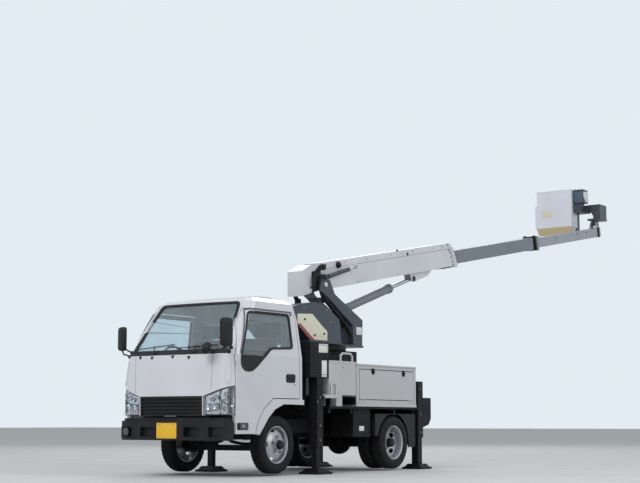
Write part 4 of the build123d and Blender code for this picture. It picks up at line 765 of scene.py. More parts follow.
shells = Piece("mirror_shells", "cab")
panes = Piece("mirror_panes", "cab", "black_plastic", "mirror_glass")
for x, y, z, turn, foot_x, foot_z, tall in MIRROR_HEADS:
    deep = MIRROR_SIZE[1]
    mirror_rows(shells, [(share * deep, k) for share, k in MIRROR_SHELL], Vector((x, y, z)), turn, tall)
    mirror_rows(panes, [(deep / 2 + off, k) for off, k in MIRROR_PANE], Vector((x, y, z)), turn, tall)
    out = math.copysign(1, x)
    for drop, rise in STAYS:
        foot, normal = on_front("cab_shell", foot_x, foot_z + rise)
        bend, end = (x - out * inward for inward in STAY_IN)
        line = (foot, foot + normal * STAY_OFF + Vector((out * 0.01, 0, 0)),
                Vector((bend, y + 0.01, z - drop - STAY_OFF)), Vector((end, y, z - drop)))
        shells.tube(curve_through(line, 6), STAY_R)
        shells.turned(STAY_FLANGE, foot, normal)
centre = sight_at(1, ROUND_MIRROR_Y, *ROUND_MIRROR_PX)
facing = Vector(ROUND_MIRROR_WAY).normalized()
shells.turned(scaled(ROUND_SHELL, ROUND_MIRROR_R), centre, facing, 40)
panes.turned(scaled(ROUND_PANE, ROUND_MIRROR_R), centre, facing, 40)
foot, normal = on_front("cab_shell", centre.x + ROUND_FOOT[0], ROUND_FOOT[1])
back, below, end = ROUND_STAY
line = (foot, foot + normal * STAY_OFF, centre - facing * back - Vector((0, 0, below)), centre - facing * end)
shells.tube(curve_through(line, 6), ROUND_STAY_R)
shells.turned(ROUND_FLANGE, foot, normal)
shells = shells.done()
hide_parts("mirrors")
panes.done()


# Headlamps, number plate and bumper

LAMP_EDGE = ((0.499, 0.724), (0.818, 0.724), (0.818, 1.052), (0.718, 1.014), (0.499, 0.94))
LAMP_BACK = ((0.50745, 0.735), (0.796, 0.735), (0.796, 1.035), (0.71441, 1.004), (0.50745, 0.934))
LAMP_BACK_DEPTH = 0.039
LAMP_SPLIT = ((0.724, 0.724), (0.724, 1.012))
BOWLS = (
    # facing, then x, z and radius of each
    ((0.12, -1, 0.04),
     ((0.56, 0.805, 0.052), (0.655, 0.815, 0.052), (0.61, 0.905, 0.03), (0.68, 0.925, 0.03))),
    ((0.75, -0.65, 0.02), ((0.775, 0.79, 0.036), (0.775, 0.88, 0.036), (0.778, 0.965, 0.028))),
)
BOWL_DEPTH = 0.036
LAMP_RIM = ((-0.003, 0.003), 0.0015)     # across, proud
SPLIT_RIM = ((-0.005, 0.005), 0.0015)
BOWL_ROWS = ((0.25, 0.0), (0.6, 0.005), (0.85, 0.016), (1.0, 0.03), (0.94, 0.03), (0.78, 0.017),
             (0.5, 0.008), (0.2, 0.004))
BULB_ROWS = ((0.18, 0.004), (0.2, 0.018), (0.08, 0.023))
NUMBER_PLATE = arc(rectangle(-0.194, 0.451, 0.118, 0.635), 0.012)
PLATE_MIDDLE = 0.543
PLATE_PROUD = 0.003
PLATE_EDGE = ((-0.002, 0.002), 0.0045)     # across, proud
PLATE_RIM = (0.975, 0.955)     # the raised rim as a share of the plate
PLATE_BOLTS = ((-0.143, 0.612), (0.067, 0.612))
PLATE_BOLT = (0.007, 0.005)
SLOTS = ((0.24, 0.44), (0.595, 0.79))
SLOT_Z = (0.472, 0.582)
SLOT_RIM = 0.012
SLOT_CORNER = 0.02
SLOT_FRAME = ((-0.005, 0.005), 0.004)     # across, proud
FOG_LAMP = (-0.692, 0.527)
AHEAD = (0, -1, 0)
FOG_CASE = ((0.05, -0.002), (0.052, 0.03), (0.05, 0.036), (0.044, 0.036))
FOG_LENS = ((0.044, 0.03), (0.043, 0.038), (0.03, 0.043), (0.01, 0.045))
FOG_BOWL = ((0.012, 0.004), (0.03, 0.01), (0.04, 0.028), (0.036, 0.028), (0.026, 0.013), (0.008, 0.008))
LOWER_PANEL = ((-0.5, -0.985, 0.66), (0.5, -0.979, 0.7125))

rims = Piece("lamp_rims", "cab")
bowls = Piece("lamp_bowls", "cab", "bright_steel", "lamp_chrome")
bulbs = Piece("lamp_bulbs", "cab", "lamp_glass", "label_film")
for way in (1, -1):
    edge = dense(mirrored(LAMP_EDGE, way), FINE)
    split = dense(mirrored(LAMP_SPLIT, way), FINE, closed=False)
    rims.ribbon("headlamps", edge, FRONT, *LAMP_RIM, closed=True)
    rims.ribbon("headlamps", split, FRONT, *SPLIT_RIM)
    bowls.patch("headlamps", mirrored(LAMP_BACK, way), FRONT, -LAMP_BACK_DEPTH, LAMP_BACK_DEPTH + 0.002)
    for (fx, fy, fz), table in BOWLS:
        facing = Vector((fx * way, fy, fz)).normalized()
        for x, z, r in table:
            front, normal = on_front("headlamps", x * way, z)
            base = front - normal * BOWL_DEPTH
            bowls.turned(scaled(BOWL_ROWS, r), base, facing, 24)
            bulbs.turned(scaled(BULB_ROWS, r), base, facing, 16)
rims.done()
bowls.done(soft=10)
bulbs.done()

piece = Piece("number_plate", "chassis", "body_paint", "plate_paint")
piece.patch("front_bumper", NUMBER_PLATE, FRONT, PLATE_PROUD)
wide, tall = PLATE_RIM
rim_line = [(u * wide - 0.001, PLATE_MIDDLE + (v - PLATE_MIDDLE) * tall) for u, v in NUMBER_PLATE]
piece.ribbon("front_bumper", dense(rim_line, FINE), FRONT, *PLATE_EDGE, closed=True)
piece.done(0.001)
piece = Piece("plate_bolts", "chassis", "bright_steel")
for x, z in PLATE_BOLTS:
    p, normal = on_front("front_bumper", x, z)
    piece.bolt(p + normal * PLATE_PROUD, normal, *PLATE_BOLT)
piece.done()

frames = Piece("bumper_slot_frames", "chassis")
low, high = SLOT_Z
for x0, x1 in SLOTS:
    edge = rectangle(x0 - SLOT_RIM, low - SLOT_RIM, x1 + SLOT_RIM, high + SLOT_RIM)
    edge = dense(arc(edge, SLOT_CORNER), FINE)
    for way in (1, -1):
        frames.ribbon("front_bumper", mirrored(edge, way), FRONT, *SLOT_FRAME, closed=True)
frames.done(0.001)
spot, _ = on_front("front_bumper", *FOG_LAMP)
Piece("fog_lamp_case", "chassis").turned(FOG_CASE, spot, AHEAD, 32).done(0.001)
Piece("fog_lamp_lens", "chassis", "lamp_glass").turned(FOG_LENS, spot, AHEAD, 32).done()
Piece("fog_lamp_bowl", "chassis", "bright_steel", "lamp_chrome").turned(
    FOG_BOWL, spot, AHEAD, 24).done(soft=10)
Piece("lower_panel", "cab").box(*LOWER_PANEL).done(0.001)


# Seats

SEATS_X = (0.405, -0.405)
CUSHION = ((0.515, 0.47, 0.1), (-0.17, 1.062), 3)      # width, depth and height; middle's y and z; tilt
BACK = ((0.49, 0.105, 0.56), (0.112, 1.41), -12)
HEADREST = ((0.26, 0.085, 0.17), (0.19, 1.775), -12)
PAD_CORNER = 0.3       # share of the least size
VOXEL = 0.008
PUFF = 0.016           # most that a pad swells
PRESSURE = 4
CLOTH_FRAMES = 20
SEAT_BASE = ((-0.25, -0.385, 0.902), (0.25, 0.1, 1.008))
SEAT_HINGES = (((-0.278, 0.02, 1.03), (-0.262, 0.1, 1.12)), ((0.262, 0.02, 1.03), (0.278, 0.1, 1.12)))
HEADREST_POSTS = ((0.165, 1.66), (0.178, 1.73))
POSTS_X = (-0.06, 0.06)
POST_R = 0.007
SEAT_EDGE = 0.006
SEAM_INSET = 0.05
SEAM_CORNER = 0.05
SEAM_STEP = 0.02
SEAM_END = 0.01        # from a cross seam's end to the side seam
AHEAD_OF_SEAT = -0.3
SEAM_R = 0.0035
CROSS_SEAMS = (0.07, -0.09)


def flatten(obj):
    """Turn the modifiers' result into the mesh itself."""
    mesh = bpy.data.meshes.new_from_object(obj.evaluated_get(bpy.context.evaluated_depsgraph_get()))
    obj.modifiers.clear()
    old = obj.data
    obj.data = mesh
    bpy.data.meshes.remove(old)


def swell(obj):
    """Let a block fill out under pressure, each point by a limited distance."""
    remesh = obj.modifiers.new("remesh", "REMESH")
    remesh.mode = "VOXEL"
    remesh.voxel_size = VOXEL
    flatten(obj)
    before = [v.co.copy() for v in obj.data.vertices]
    cloth_mod = obj.modifiers.new("cloth", "CLOTH")
    cloth_mod.settings.use_pressure = True
    cloth_mod.settings.uniform_pressure_force = PRESSURE
    cloth_mod.settings.effector_weights.gravity = 0
    cloth_mod.point_cache.frame_start = 1
    cloth_mod.point_cache.frame_end = CLOTH_FRAMES
    for number in range(1, CLOTH_FRAMES + 1):
        bpy.context.scene.frame_set(number)
    flatten(obj)
    bpy.context.scene.frame_set(1)
    for v, old in zip(obj.data.vertices, before):
        move = v.co - old
        if move.length > PUFF:
            v.co = old + move * (PUFF / move.length)
    obj.data.update()


def pad(name, x, size, middle, tilt):
    """A stuffed block at one seat."""
    piece = Piece(name, "cab", "seat_cloth")
    w, d, h = (v / 2 for v in size)
    piece.box((-w, -d, -h), (w, d, h))
    bmesh.ops.bevel(piece.bm, geom=piece.bm.edges[:], offset=min(size) * PAD_CORNER, segments=3,
                    profile=ROUNDNESS, affect="EDGES")
    obj = piece.done(soft=60)
    swell(obj)
    smoother = obj.modifiers.new("finer", "SUBSURF")
    smoother.levels = smoother.render_levels = 1
    flatten(obj)
    obj.data.transform(Matrix.Translation((x, *middle)) @ Matrix.Rotation(math.radians(tilt), 4, "X"))
    for f in obj.data.polygons:
        f.use_smooth = True
    return obj


for (side, _), x in zip(SIDES, SEATS_X):
    cushion = pad(f"seat_cushion_{side}", x, *CUSHION)
    back = pad(f"seat_back_{side}", x, *BACK)
    pad(f"headrest_{side}", x, *HEADREST)
    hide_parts("seats")
    base = Piece(f"seat_base_{side}", "cab")
    for low, high in (SEAT_BASE, *SEAT_HINGES):
        base.box((x + low[0], *low[1:]), (x + high[0], *high[1:]))
    for off in POSTS_X:
        base.tube([(x + off, y, z) for y, z in HEADREST_POSTS], POST_R)
    base.done(SEAT_EDGE)
    size, middle, tilt = BACK
    w, h = size[0] / 2 - SEAM_INSET, size[2] / 2 - SEAM_INSET
    turn = Matrix.Translation((x, *middle)) @ Matrix.Rotation(math.radians(tilt), 4, "X")
    rearward = (turn.to_3x3() @ Vector((0, 1, 0))).normalized()
    tree = BVHTree.FromObject(back, bpy.context.evaluated_depsgraph_get())
    lines = [dense(arc(rectangle(-w, -h, w, h), SEAM_CORNER), SEAM_STEP)]
    w -= SEAM_END
    lines += [dense(((-w, v), (w, v)), SEAM_STEP, closed=False) for v in CROSS_SEAMS]
    seams = Piece(f"seat_seams_{side}", "cab")
    for line in lines:
        places = [tree.ray_cast(turn @ Vector((u, AHEAD_OF_SEAT, v)), rearward)[0] for u, v in line]
        seams.tube([p for p in places if p is not None], SEAM_R, 6)
    seams.done()


# Wheels

HUB_Z = 0.37
REAR_Y = 2.5
TYRE_STEPS = 120
SIDEWALL = ((0.067, 0.2145), (0.068, 0.226), (0.079, 0.231), (0.0865, 0.2415), (0.0872, 0.2475),
            (0.0895, 0.2485), (0.0925, 0.272), (0.0925, 0.292), (0.091, 0.2935), (0.0905, 0.306),
            (0.087, 0.318), (0.0845, 0.32))
SHOULDER = ((0.082, 0.333), (0.0765, 0.3415), (0.066, 0.347))
TYRE_HALF = 0.0925
GROOVES = (0.045, 0.015)
GROOVE_W = 0.0045
GROOVE_D = 0.009
TREAD_R = 0.3485
RIB_R = 0.349
SIPE_D = 0.008
SIPE_FROM = (0.065, 0.33)     # across, radius
NUTS = 5
NUT_CIRCLE = 0.098
NUT_ROWS = (
    # rows of radius and height, sides
    (((0.021, -0.001), (0.021, 0.004), (0.016, 0.005)), 20),
    (((0.0165, 0.004), (0.0165, 0.02), (0.013, 0.024)), 6),
    (((0.009, 0.02), (0.009, 0.031), (0.006, 0.033)), 16),
)
HUB_FACE = 0.062
CAP_ROWS = ((1.0, 0.86, 0.84, 0.7, 0.4, 0.2), (0.7, 0.92, 1.0, 1.0))     # shares of radius, then of height
CAP_FOOT = (-0.002, 0.006, 0.01)     # heights of the cap's flange
VALVE_CIRCLE, VALVE_TURN = 0.192, 0.9     # radius, angle
VALVE_ROWS = ((0.006, -0.002), (0.006, 0.014), (0.004, 0.016), (0.004, 0.03), (0.003, 0.031))
WHEELS = (
    # tread, tyre, trim, rim, body, y, cap's radius and height
    ("front_tread", "front_tyre", "front_wheel_trim", "front_rim", "front_wheel", 0.0, 0.06, 0.05),
    ("rear_treads", "rear_tyres", "rear_wheel_trim", "rear_rims", "rear_wheels", REAR_Y, 0.066, 0.075),
)


def tyre_rings():
    half = [*SIDEWALL, *SHOULDER]
    for u in GROOVES:
        half += [(u + GROOVE_W, TREAD_R), (u + GROOVE_W * 0.6, TREAD_R - GROOVE_D),
                 (u - GROOVE_W * 0.6, TREAD_R - GROOVE_D), (u - GROOVE_W, RIB_R)]
    profile = half + [(-u, r) for u, r in reversed(half)]
    rings = []
    for k, (c, s) in enumerate(circle(TYRE_STEPS)):
        ring = []
        for u, r in profile:
            if k % 3 == 0 and abs(u) >= SIPE_FROM[0] and r > SIPE_FROM[1]:
                r -= SIPE_D
            ring.append((u, r * c, r * s))
        rings.append(ring)
    return rings


def wheel_trim(name, node, body, y, side, cap_r, cap_h):
    """Wheel nuts on their studs, a hub cap and an air valve."""
    out = (side, 0, 0)
    nuts = Piece(f"{name}_nuts", body, "bright_steel")
    for k in range(NUTS):
        a = 2 * math.pi * (k + 0.25) / NUTS
        place, _ = on_side(node, side, y + NUT_CIRCLE * math.cos(a), HUB_Z + NUT_CIRCLE * math.sin(a))
        for rows, steps in NUT_ROWS:
            nuts.turned(rows, place, out, steps)
    nuts.done(0.0006)
    place, _ = on_side(node, side, y + HUB_FACE, HUB_Z)
    radii = [cap_r * k for k in CAP_ROWS[0]]
    low, mid, high = CAP_FOOT
    rows = [(cap_r, low), (cap_r, mid), *zip(radii[1:], (high, *[cap_h * k for k in CAP_ROWS[1]]))]
    Piece(f"{name}_cap", body).turned(rows, (place.x, y, HUB_Z), out, 40).done()
    place, _ = on_side(node, side, y + VALVE_CIRCLE * math.cos(VALVE_TURN),
                        HUB_Z + VALVE_CIRCLE * math.sin(VALVE_TURN))
    Piece(f"{name}_valve", body).turned(VALVE_ROWS, place, (side, 0, 0.1), 12).done()


for side, way in SIDES:
    for tread, tyre, trim, rim, body, y, cap_r, cap_h in WHEELS:
        node = f"{tyre}_{side}"
        low, high = BOXES[node]
        piece = Piece(f"{tread}_{side}", f"{body}_{side}", "tyre_rubber")
        for x in sorted({round(low[0] + TYRE_HALF, 4), round(high[0] - TYRE_HALF, 4)}):
            rings = [[(x + u, y + b, HUB_Z + c) for u, b, c in ring] for ring in tyre_rings()]
            piece.skin(rings, closed=True)
        obj = piece.done(soft=38)
        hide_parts(node)
        wheel_trim(f"{trim}_{side}", f"{rim}_{side}", f"{body}_{side}", y, way, cap_r, cap_h)


# Body and jacks

LATCHES_PX = ((373.0, 371.5), (403.3, 373.8))
LATCH_CUP = ((0.046, -0.001), (0.046, 0.004), (0.04, 0.006), (0.036, 0.006), (0.034, 0.002))
LATCH_CORE = ((0.03, 0.002), (0.03, 0.005), (0.01, 0.006))
LATCH_KEY = Vector((0.002, 0.021, 0.007))
KEY_FROM, KEY_TO = 0.005, 0.013
HATCH_BOLTS = (0.009, 0.006, ((1.622, 0.902), (1.7, 0.902), (2.9, 0.902), (3.012, 0.902)))
LIP = ((0.88, 1.396), (0.88, 1.4), (0.911, 1.4), (0.911, 1.38), (0.906, 1.38), (0.906, 1.396))
LIP_ENDS = (1.56, 3.074)
STEP = ((0.8, 0.796, 0.968), (0.936, 1.118, 0.985))
STEP_LIP = ((0.93, 0.796, 0.943), (0.936, 1.118, 0.97))
HOOP = ((0.945, 0.981), (0.945, 1.128), (1.06, 1.128), (1.06, 0.981))
HOOP_X = 0.922
HOOP_R = 0.0095
HOOP_CORNER = 0.03
DOOR_SEAM = ((-0.003, 0.003), 0.0015)     # across, proud
# painted shade: a black sheet on the toolbox's front face, in the gap beside the side step
GAP_SHADOW_SHEET = ((0.444, 1.5625, 0.866), (0.893, 1.568, 0.966))
LABELS = (
    # name, node, corners in pixels
    ("battery_label", "side_tanks", ((359.2, 426.0), (364.0, 426.2), (364.0, 430.8), (359.2, 430.8))),
    ("cabinet_label_0", "outrigger_front", ((318.8, 343.8), (328.0, 344.2), (328.0, 352.8), (318.8, 352.4))),
    ("cabinet_label_1", "outrigger_front", ((321.8, 360.5), (326.8, 360.6), (326.8, 377.0), (321.8, 376.8))),
)
BODY_BOLT = (0.009, 0.006)
BODY_BOLTS = (("side_boxes", (343.0, 367.4)), ("outrigger_front", (317.6, 401.6)))
CABINET_DOOR = arc(rectangle(0.545, 1.235, 0.9, 1.605), 0.02)
JACK_CAPS = (
    ("outrigger_front", 0.01, 0.008, ((0.735, 0.42), (0.735, 0.6), (0.735, 0.95))),
    ("outrigger_rear", 0.01, 0.008, ((3.19, 0.5), (3.19, 0.75), (3.19, 1.1))),
)
LAMP_CELLS = (-0.695, -0.615)
LAMP_GAPS = (0.004, 0.006)     # round a bar, round a cell
INSETS = (0.0005, 0.0008)      # behind the lamp's face

for side, way in SIDES:
    node, body = f"toolbox_door_{side}", f"locker_door_{side}"
    cup = Piece(f"hatch_latches_{side}", body, "chassis_paint")
    for px in LATCHES_PX:
        near, _ = seen("toolbox_door_left", *px)
        p, normal = on_side(node, way, near.y, near.z)
        cup.turned(LATCH_CUP, p, normal, 6)
        cup.turned(LATCH_CORE, p, normal, 24)
        cup.box(p + normal * KEY_FROM - LATCH_KEY, p + normal * KEY_TO + LATCH_KEY)
    cup.done(0.0012)
    side_bolts(f"hatch_bolts_{side}", "chassis", "bright_steel", way, ((f"toolbox_{side}", *HATCH_BOLTS),))
    Piece(f"toolbox_lip_{side}", "chassis", "body_paint").prism(
        mirrored(LIP, way), "y", *LIP_ENDS).done(0.0015)
    Piece(f"side_step_{side}", "chassis", "body_paint").box(*STEP, way).box(*STEP_LIP, way).done(0.0015)
    line = [HOOP[0], *arc(HOOP, HOOP_CORNER)[ARC_STEPS:-ARC_STEPS - 1], HOOP[-1]]
    Piece(f"step_hoop_{side}", "chassis", "rod_chrome").tube(
        [(HOOP_X * way, u, v) for u, v in dense(line, FINE, closed=False)], HOOP_R, 12).done()
    # A black sheet paints the shade in the gap between the side step and the toolbox.
    Piece(f"gap_shadow_sheet_{side}", "chassis").box(*GAP_SHADOW_SHEET, way).done(0.001)
    Piece(f"cabinet_seam_{side}", "chassis", "jack_paint", "black_plastic").ribbon(
        "outrigger_front", dense(CABINET_DOOR, COARSE), ("x", NEAR * way), *DOOR_SEAM, closed=True).done()
    side_bolts(f"jack_caps_{side}", "chassis", "bright_steel", way, JACK_CAPS)

for name, node, corners in LABELS:
    label(name, "chassis", node, corners, "label_film")
piece = Piece("body_bolts", "chassis", "bright_steel")
for node, px in BODY_BOLTS:
    piece.bolt(*seen(node, *px), *BODY_BOLT)
piece.done()

bars = Piece("tail_lamp_bars", "chassis")
cells = Piece("tail_lamp_cells", "chassis", "tail_lens", "amber_lens")
(_, _, z0), (_, y1, z1) = BOXES["tail_lamps"]
bar, gap = LAMP_GAPS
for way in (1, -1):
    for x in LAMP_CELLS:
        x *= way
        bars.box((x - bar, y1 - bar, z0 + bar), (x + bar, y1 - INSETS[0], z1 - bar))
    x0, x1 = sorted(x * way for x in LAMP_CELLS)
    cells.box((x0 + gap, y1 - gap, z0 + gap), (x1 - gap, y1 - INSETS[1], z1 - gap))
bars.done(0.001)
cells.done(0.002)


# Turret

SIDE_PANEL = arc(((0.912, 2.031), (1.243, 2.049), (1.443, 1.921), (1.591, 1.835), (1.591, 1.714),
                  (1.2, 1.714), (0.914, 1.908)), 0.012, 3)
PANEL_SLOTS = ((304.6, 319.2), (314.5, 335.2), (324.0, 334.0))
PANEL_SLOT = (0.024, 0.012, 0.011)     # half length, half width, corner
SLOT_TURN = (0.94, 0.34)               # cosine and sine
STRIPE = ((0.92, 1.906), (0.985, 1.906), (1.29, 1.714), (1.2, 1.714))
TURRET_BOLTS = (
    ("turret_cover", 0.01, 0.007, ((1.652, 1.966), (1.585, 2.118), (1.06, 2.12), (1.83, 1.76))),
    ("turret_frame", 0.008, 0.006, ((2.62, 1.8), (2.66, 1.86), (2.62, 1.92), (2.66, 1.98), (2.62, 2.04))),
)
COLUMN_LABEL = ((356.4, 327.0), (362.0, 327.6), (362.0, 335.0), (356.4, 334.6))
HOSE_ROUTE = ((1.735, 2.395), (1.812, 2.3), (2.01, 2.17), (2.29, 1.985), (2.42, 1.85), (2.44, 1.712))
HOSES_X = (0.2, 0.226, 0.252)
HOSE_SHIFT = (0.012, -0.016)           # from one hose to the next
TURRET_HOSE_R = 0.011
CLAMP_X = (0.184, 0.268)
CLAMP = ((-0.005, -0.055), (0.03, 0.02))
RING = (1.95, 0.36, 1.76)             # y, radius, height above the bolts
RING_BOLTS = 20
RING_BOLT = (0.01, 0.008)
RING_FRONT = 1.9

for side, way in SIDES:
    face = ("x", NEAR * way)
    Piece(f"turret_panel_{side}", "turret", "turret_paint", "cream_paint").patch(
        "turret_cover", SIDE_PANEL, face, 0.004, cuts=0).done(0.001)
    Piece(f"turret_stripe_{side}", "turret", "turret_paint", "warning_red").patch(
        "turret_cover", STRIPE, face, 0.0052, cuts=0).done(0.0004)
    slots = Piece(f"turret_slots_{side}", "turret")
    c, s = SLOT_TURN
    for px in PANEL_SLOTS:
        near, _ = seen("turret_cover", *px)
        outline = [(near.y + u * c - v * s, near.z + v * c + u * s) for u, v in rounded(*PANEL_SLOT)]
        slots.patch("turret_cover", outline, face, 0.0062, cuts=0)
    slots.done(0.0005)
    side_bolts(f"turret_bolts_{side}", "turret", "bright_steel", way, TURRET_BOLTS)
    hoses = Piece(f"turret_hoses_{side}", "turret", "black_plastic", "hose_rubber")
    for k, x in enumerate(HOSES_X):
        line = [(x * way, y + HOSE_SHIFT[0] * k, z + HOSE_SHIFT[1] * k) for y, z in HOSE_ROUTE]
        line[-1] = (*line[-1][:2], HOSE_ROUTE[-1][1])
        hoses.tube(curve_through(line), TURRET_HOSE_R)
    hoses.done()
    clamps = Piece(f"hose_clamps_{side}", "turret", "chassis_paint")
    (a0, b0), (a1, b1) = CLAMP
    for y, z in (HOSE_ROUTE[1], HOSE_ROUTE[3]):
        clamps.box((CLAMP_X[0], y + a0, z + b0), (CLAMP_X[1], y + a1, z + b1), way)
    clamps.done(0.002)

label("column_label", "turret", "turret_frame", COLUMN_LABEL, "label_film")
ring = Piece("slewing_bolts", "turret", "bright_steel")
middle, radius, above = RING
for k in range(RING_BOLTS):
    a = 2 * math.pi * (k + 0.5) / RING_BOLTS
    y = middle + radius * math.cos(a)
    if y < RING_FRONT:
        ring.bolt(*hit("turret_frame", (radius * math.sin(a), y, above), (0, 0, -1)), *RING_BOLT)
ring.done()


# Boom

FOOT = Vector((0.0, 1.9, 2.5))
RISE = math.radians(10.3)
BOOM_TURN = Matrix.Rotation(RISE, 3, "X")
SHROUD = ((-0.256, -0.078), (-0.005, -0.066), (-0.005, 0.203), (-0.212, 0.203))
SHROUD_X = (0.1245, 0.131)
BOOM_BOLTS = (
    # name, slot, size, then places along and up
    ("mouth_bolts", "chassis_paint", 0.01,
     ((3.64, 0.15), (3.655, 0.075), (3.672, 0), (3.69, -0.05), (3.6, 0.19), (3.4, 0.265), (3.58, 0.27))),
    ("boom_bolts", "boom_mid_paint", 0.0075,
     ((0.6, 0.258), (1.2, 0.258), (1.85, 0.258), (2.5, 0.258), (3.1, 0.258), (0.9, -0.045), (2, -0.045))),
)
BOOM_BOLT_HIGH = 0.007
HOSE_RINGS = (0.214, 0.234, 0.254, 0.274)
HOSE_SPAN = (178, 72)
HOSE_STEPS = 6
HOSE_END_X = 0.118
HOSE_END = 0.03        # past the last ring, below the first
HOSE_END_TURN = 64
HOSE_BULGE = (0.138, 0.006, 0.012)     # out, more for each ring, more half way
FOOT_HOSE_R = 0.0095
SEAM_LINE = (0.03, 3.6, 0.2075)
SEAM_STEPS = 24
SEAM_CORNERS = ((-0.002, -0.0025), (-0.002, 0.0025), (0.0008, 0.0025), (0.0008, -0.0025))
EYE = (2.56, -0.158)
EYE_CAP = ((0.04, -0.004), (0.04, 0.006), (0.034, 0.01), (0.012, 0.012))
EYE_CAP_X = 0.061
DOME = (0.43, 0.236)
DOME_ROWS = ((0.048, -0.003), (0.048, 0.012), (0.044, 0.028), (0.034, 0.042), (0.018, 0.05), (0.004, 0.052))
WEAR_PAD = ((-0.085, 3.47, -0.092), (0.085, 3.725, -0.07))
SENSOR_LOW, SENSOR_HIGH = Vector((0.006, 0.014, 0.016)), Vector((0.012, 0.014, 0.022))
SENSORS_PX = ((397.0, 251.0), (407.3, 254.2))
COLLARS = (
    # name, body, bevel, then half width, low, high, start, end and thickness of each band
    ("mid_collar", "boom_middle", 0.003, ((0.1, -0.045, 0.165, 6.742, 6.8, 0.016),
                                          (0.1, -0.045, 0.165, 6.7, 6.738, 0.004))),
    ("tip_collar", "boom_upper", 0.002, ((0.078, -0.025, 0.147, 9.6, 9.69, 0.006),)),
)
COLLAR_LUGS = (((-0.105, 6.748, 0.176), (-0.065, 6.796, 0.2)), ((0.065, 6.748, 0.176), (0.105, 6.796, 0.2)))
TIP_HOLES_PX = ((577.5, 234.0), (586.5, 232.6), (556.5, 237.6))
PLUG_ROWS = ((0.016, -0.002), (0.016, 0.002), (0.01, 0.003))


def on_boom(s, t, x=0.0):
    """A point s along and t up from the boom's foot."""
    return FOOT + BOOM_TURN @ Vector((x, s, t))


def on_boom_side(way, s, t):
    place = on_boom(s, t)
    return on_side("boom_base", way, place.y, place.z)


def boom_prism(piece, outline, x0, x1):
    return piece.skin([[on_boom(s, t, x) for s, t in outline] for x in (x0, x1)])


def boom_box(piece, low, high):
    (x0, s0, t0), (x1, s1, t1) = low, high
    return boom_prism(piece, rectangle(s0, t0, s1, t1), x0, x1)


def collar(piece, half, low, high, s0, s1, thick, inset=0.001):
    """A square band round a boom section."""
    sections = []
    for x, t in rectangle(-half, low, half, high):
        sx, st = math.copysign(1, x), (1 if t > (low + high) / 2 else -1)
        a = (x - sx * inset, t - st * inset)
        b = (x + sx * thick, t + st * thick)
        sections.append([on_boom(s, t, x) for s, (x, t) in ((s0, a), (s1, a), (s1, b), (s0, b))])
    return piece.skin(sections, closed=True)


for side, way in SIDES:
    boom_prism(Piece(f"foot_shroud_{side}", "boom_lower"), SHROUD,
               SHROUD_X[0] * way, SHROUD_X[1] * way).done(0.001)
    for name, slot, size, table in BOOM_BOLTS:
        bolts = Piece(f"{name}_{side}", "boom_lower", slot)
        for s, t in table:
            bolts.bolt(*on_boom_side(way, s, t), size, BOOM_BOLT_HIGH)
        bolts.done()
    hoses = Piece(f"foot_hoses_{side}", "boom_lower", "black_plastic", "hose_rubber")
    first, last = (math.radians(v) for v in HOSE_SPAN)
    bend = math.radians(HOSE_END_TURN)
    for k, r in enumerate(HOSE_RINGS):
        line = [on_boom(math.cos(first) * r, math.sin(first) * r - HOSE_END, HOSE_END_X * way)]
        for j in range(HOSE_STEPS + 1):
            a = first + (last - first) * j / HOSE_STEPS
            bulge = HOSE_BULGE[0] + HOSE_BULGE[1] * k + HOSE_BULGE[2] * math.sin(math.pi * j / HOSE_STEPS)
            line.append(on_boom(r * math.cos(a), r * math.sin(a), bulge * way))
        line.append(on_boom(math.cos(bend) * r + HOSE_END, math.sin(last) * r, HOSE_END_X * way))
        hoses.tube(curve_through(line, 6), FOOT_HOSE_R)
    hoses.done()
    sections = []
    s0, s1, t = SEAM_LINE
    for k in range(SEAM_STEPS + 1):
        p, _ = on_boom_side(way, s0 + (s1 - s0) * k / SEAM_STEPS, t)
        sections.append([p + Vector((u * way, 0, v)) for u, v in SEAM_CORNERS])
    Piece(f"boom_seam_{side}", "boom_lower", "boom_paint", "gap_shade").skin(sections).done()
    place = on_boom(*EYE, EYE_CAP_X * way)
    Piece(f"lift_eye_cap_{side}", "boom_lower", "dark_iron").turned(EYE_CAP, place, (way, 0, 0), 28).done()

Piece("boom_dome", "boom_lower").turned(DOME_ROWS, *on_boom_side(1, *DOME), 32).done()
boom_box(Piece("mouth_pad", "boom_lower"), *WEAR_PAD).done(0.003)
sensors = Piece("boom_sensors", "boom_lower")
for px in SENSORS_PX:
    p, _ = seen("boom_base", *px)
    sensors.box(p - SENSOR_LOW, p + SENSOR_HIGH)
sensors.done(0.003)

for name, body, bevel, bands in COLLARS:
    band = Piece(name, body, "chassis_paint")
    for row in bands:
        collar(band, *row)
    if name == "mid_collar":
        for low, high in COLLAR_LUGS:
            boom_box(band, low, high)
    band.done(bevel)
holes = Piece("boom_outer_plugs", "boom_upper", "chassis_paint")
for px in TIP_HOLES_PX:
    holes.turned(PLUG_ROWS, *seen("boom_outer", *px))
holes.done()


# Bucket and its controls

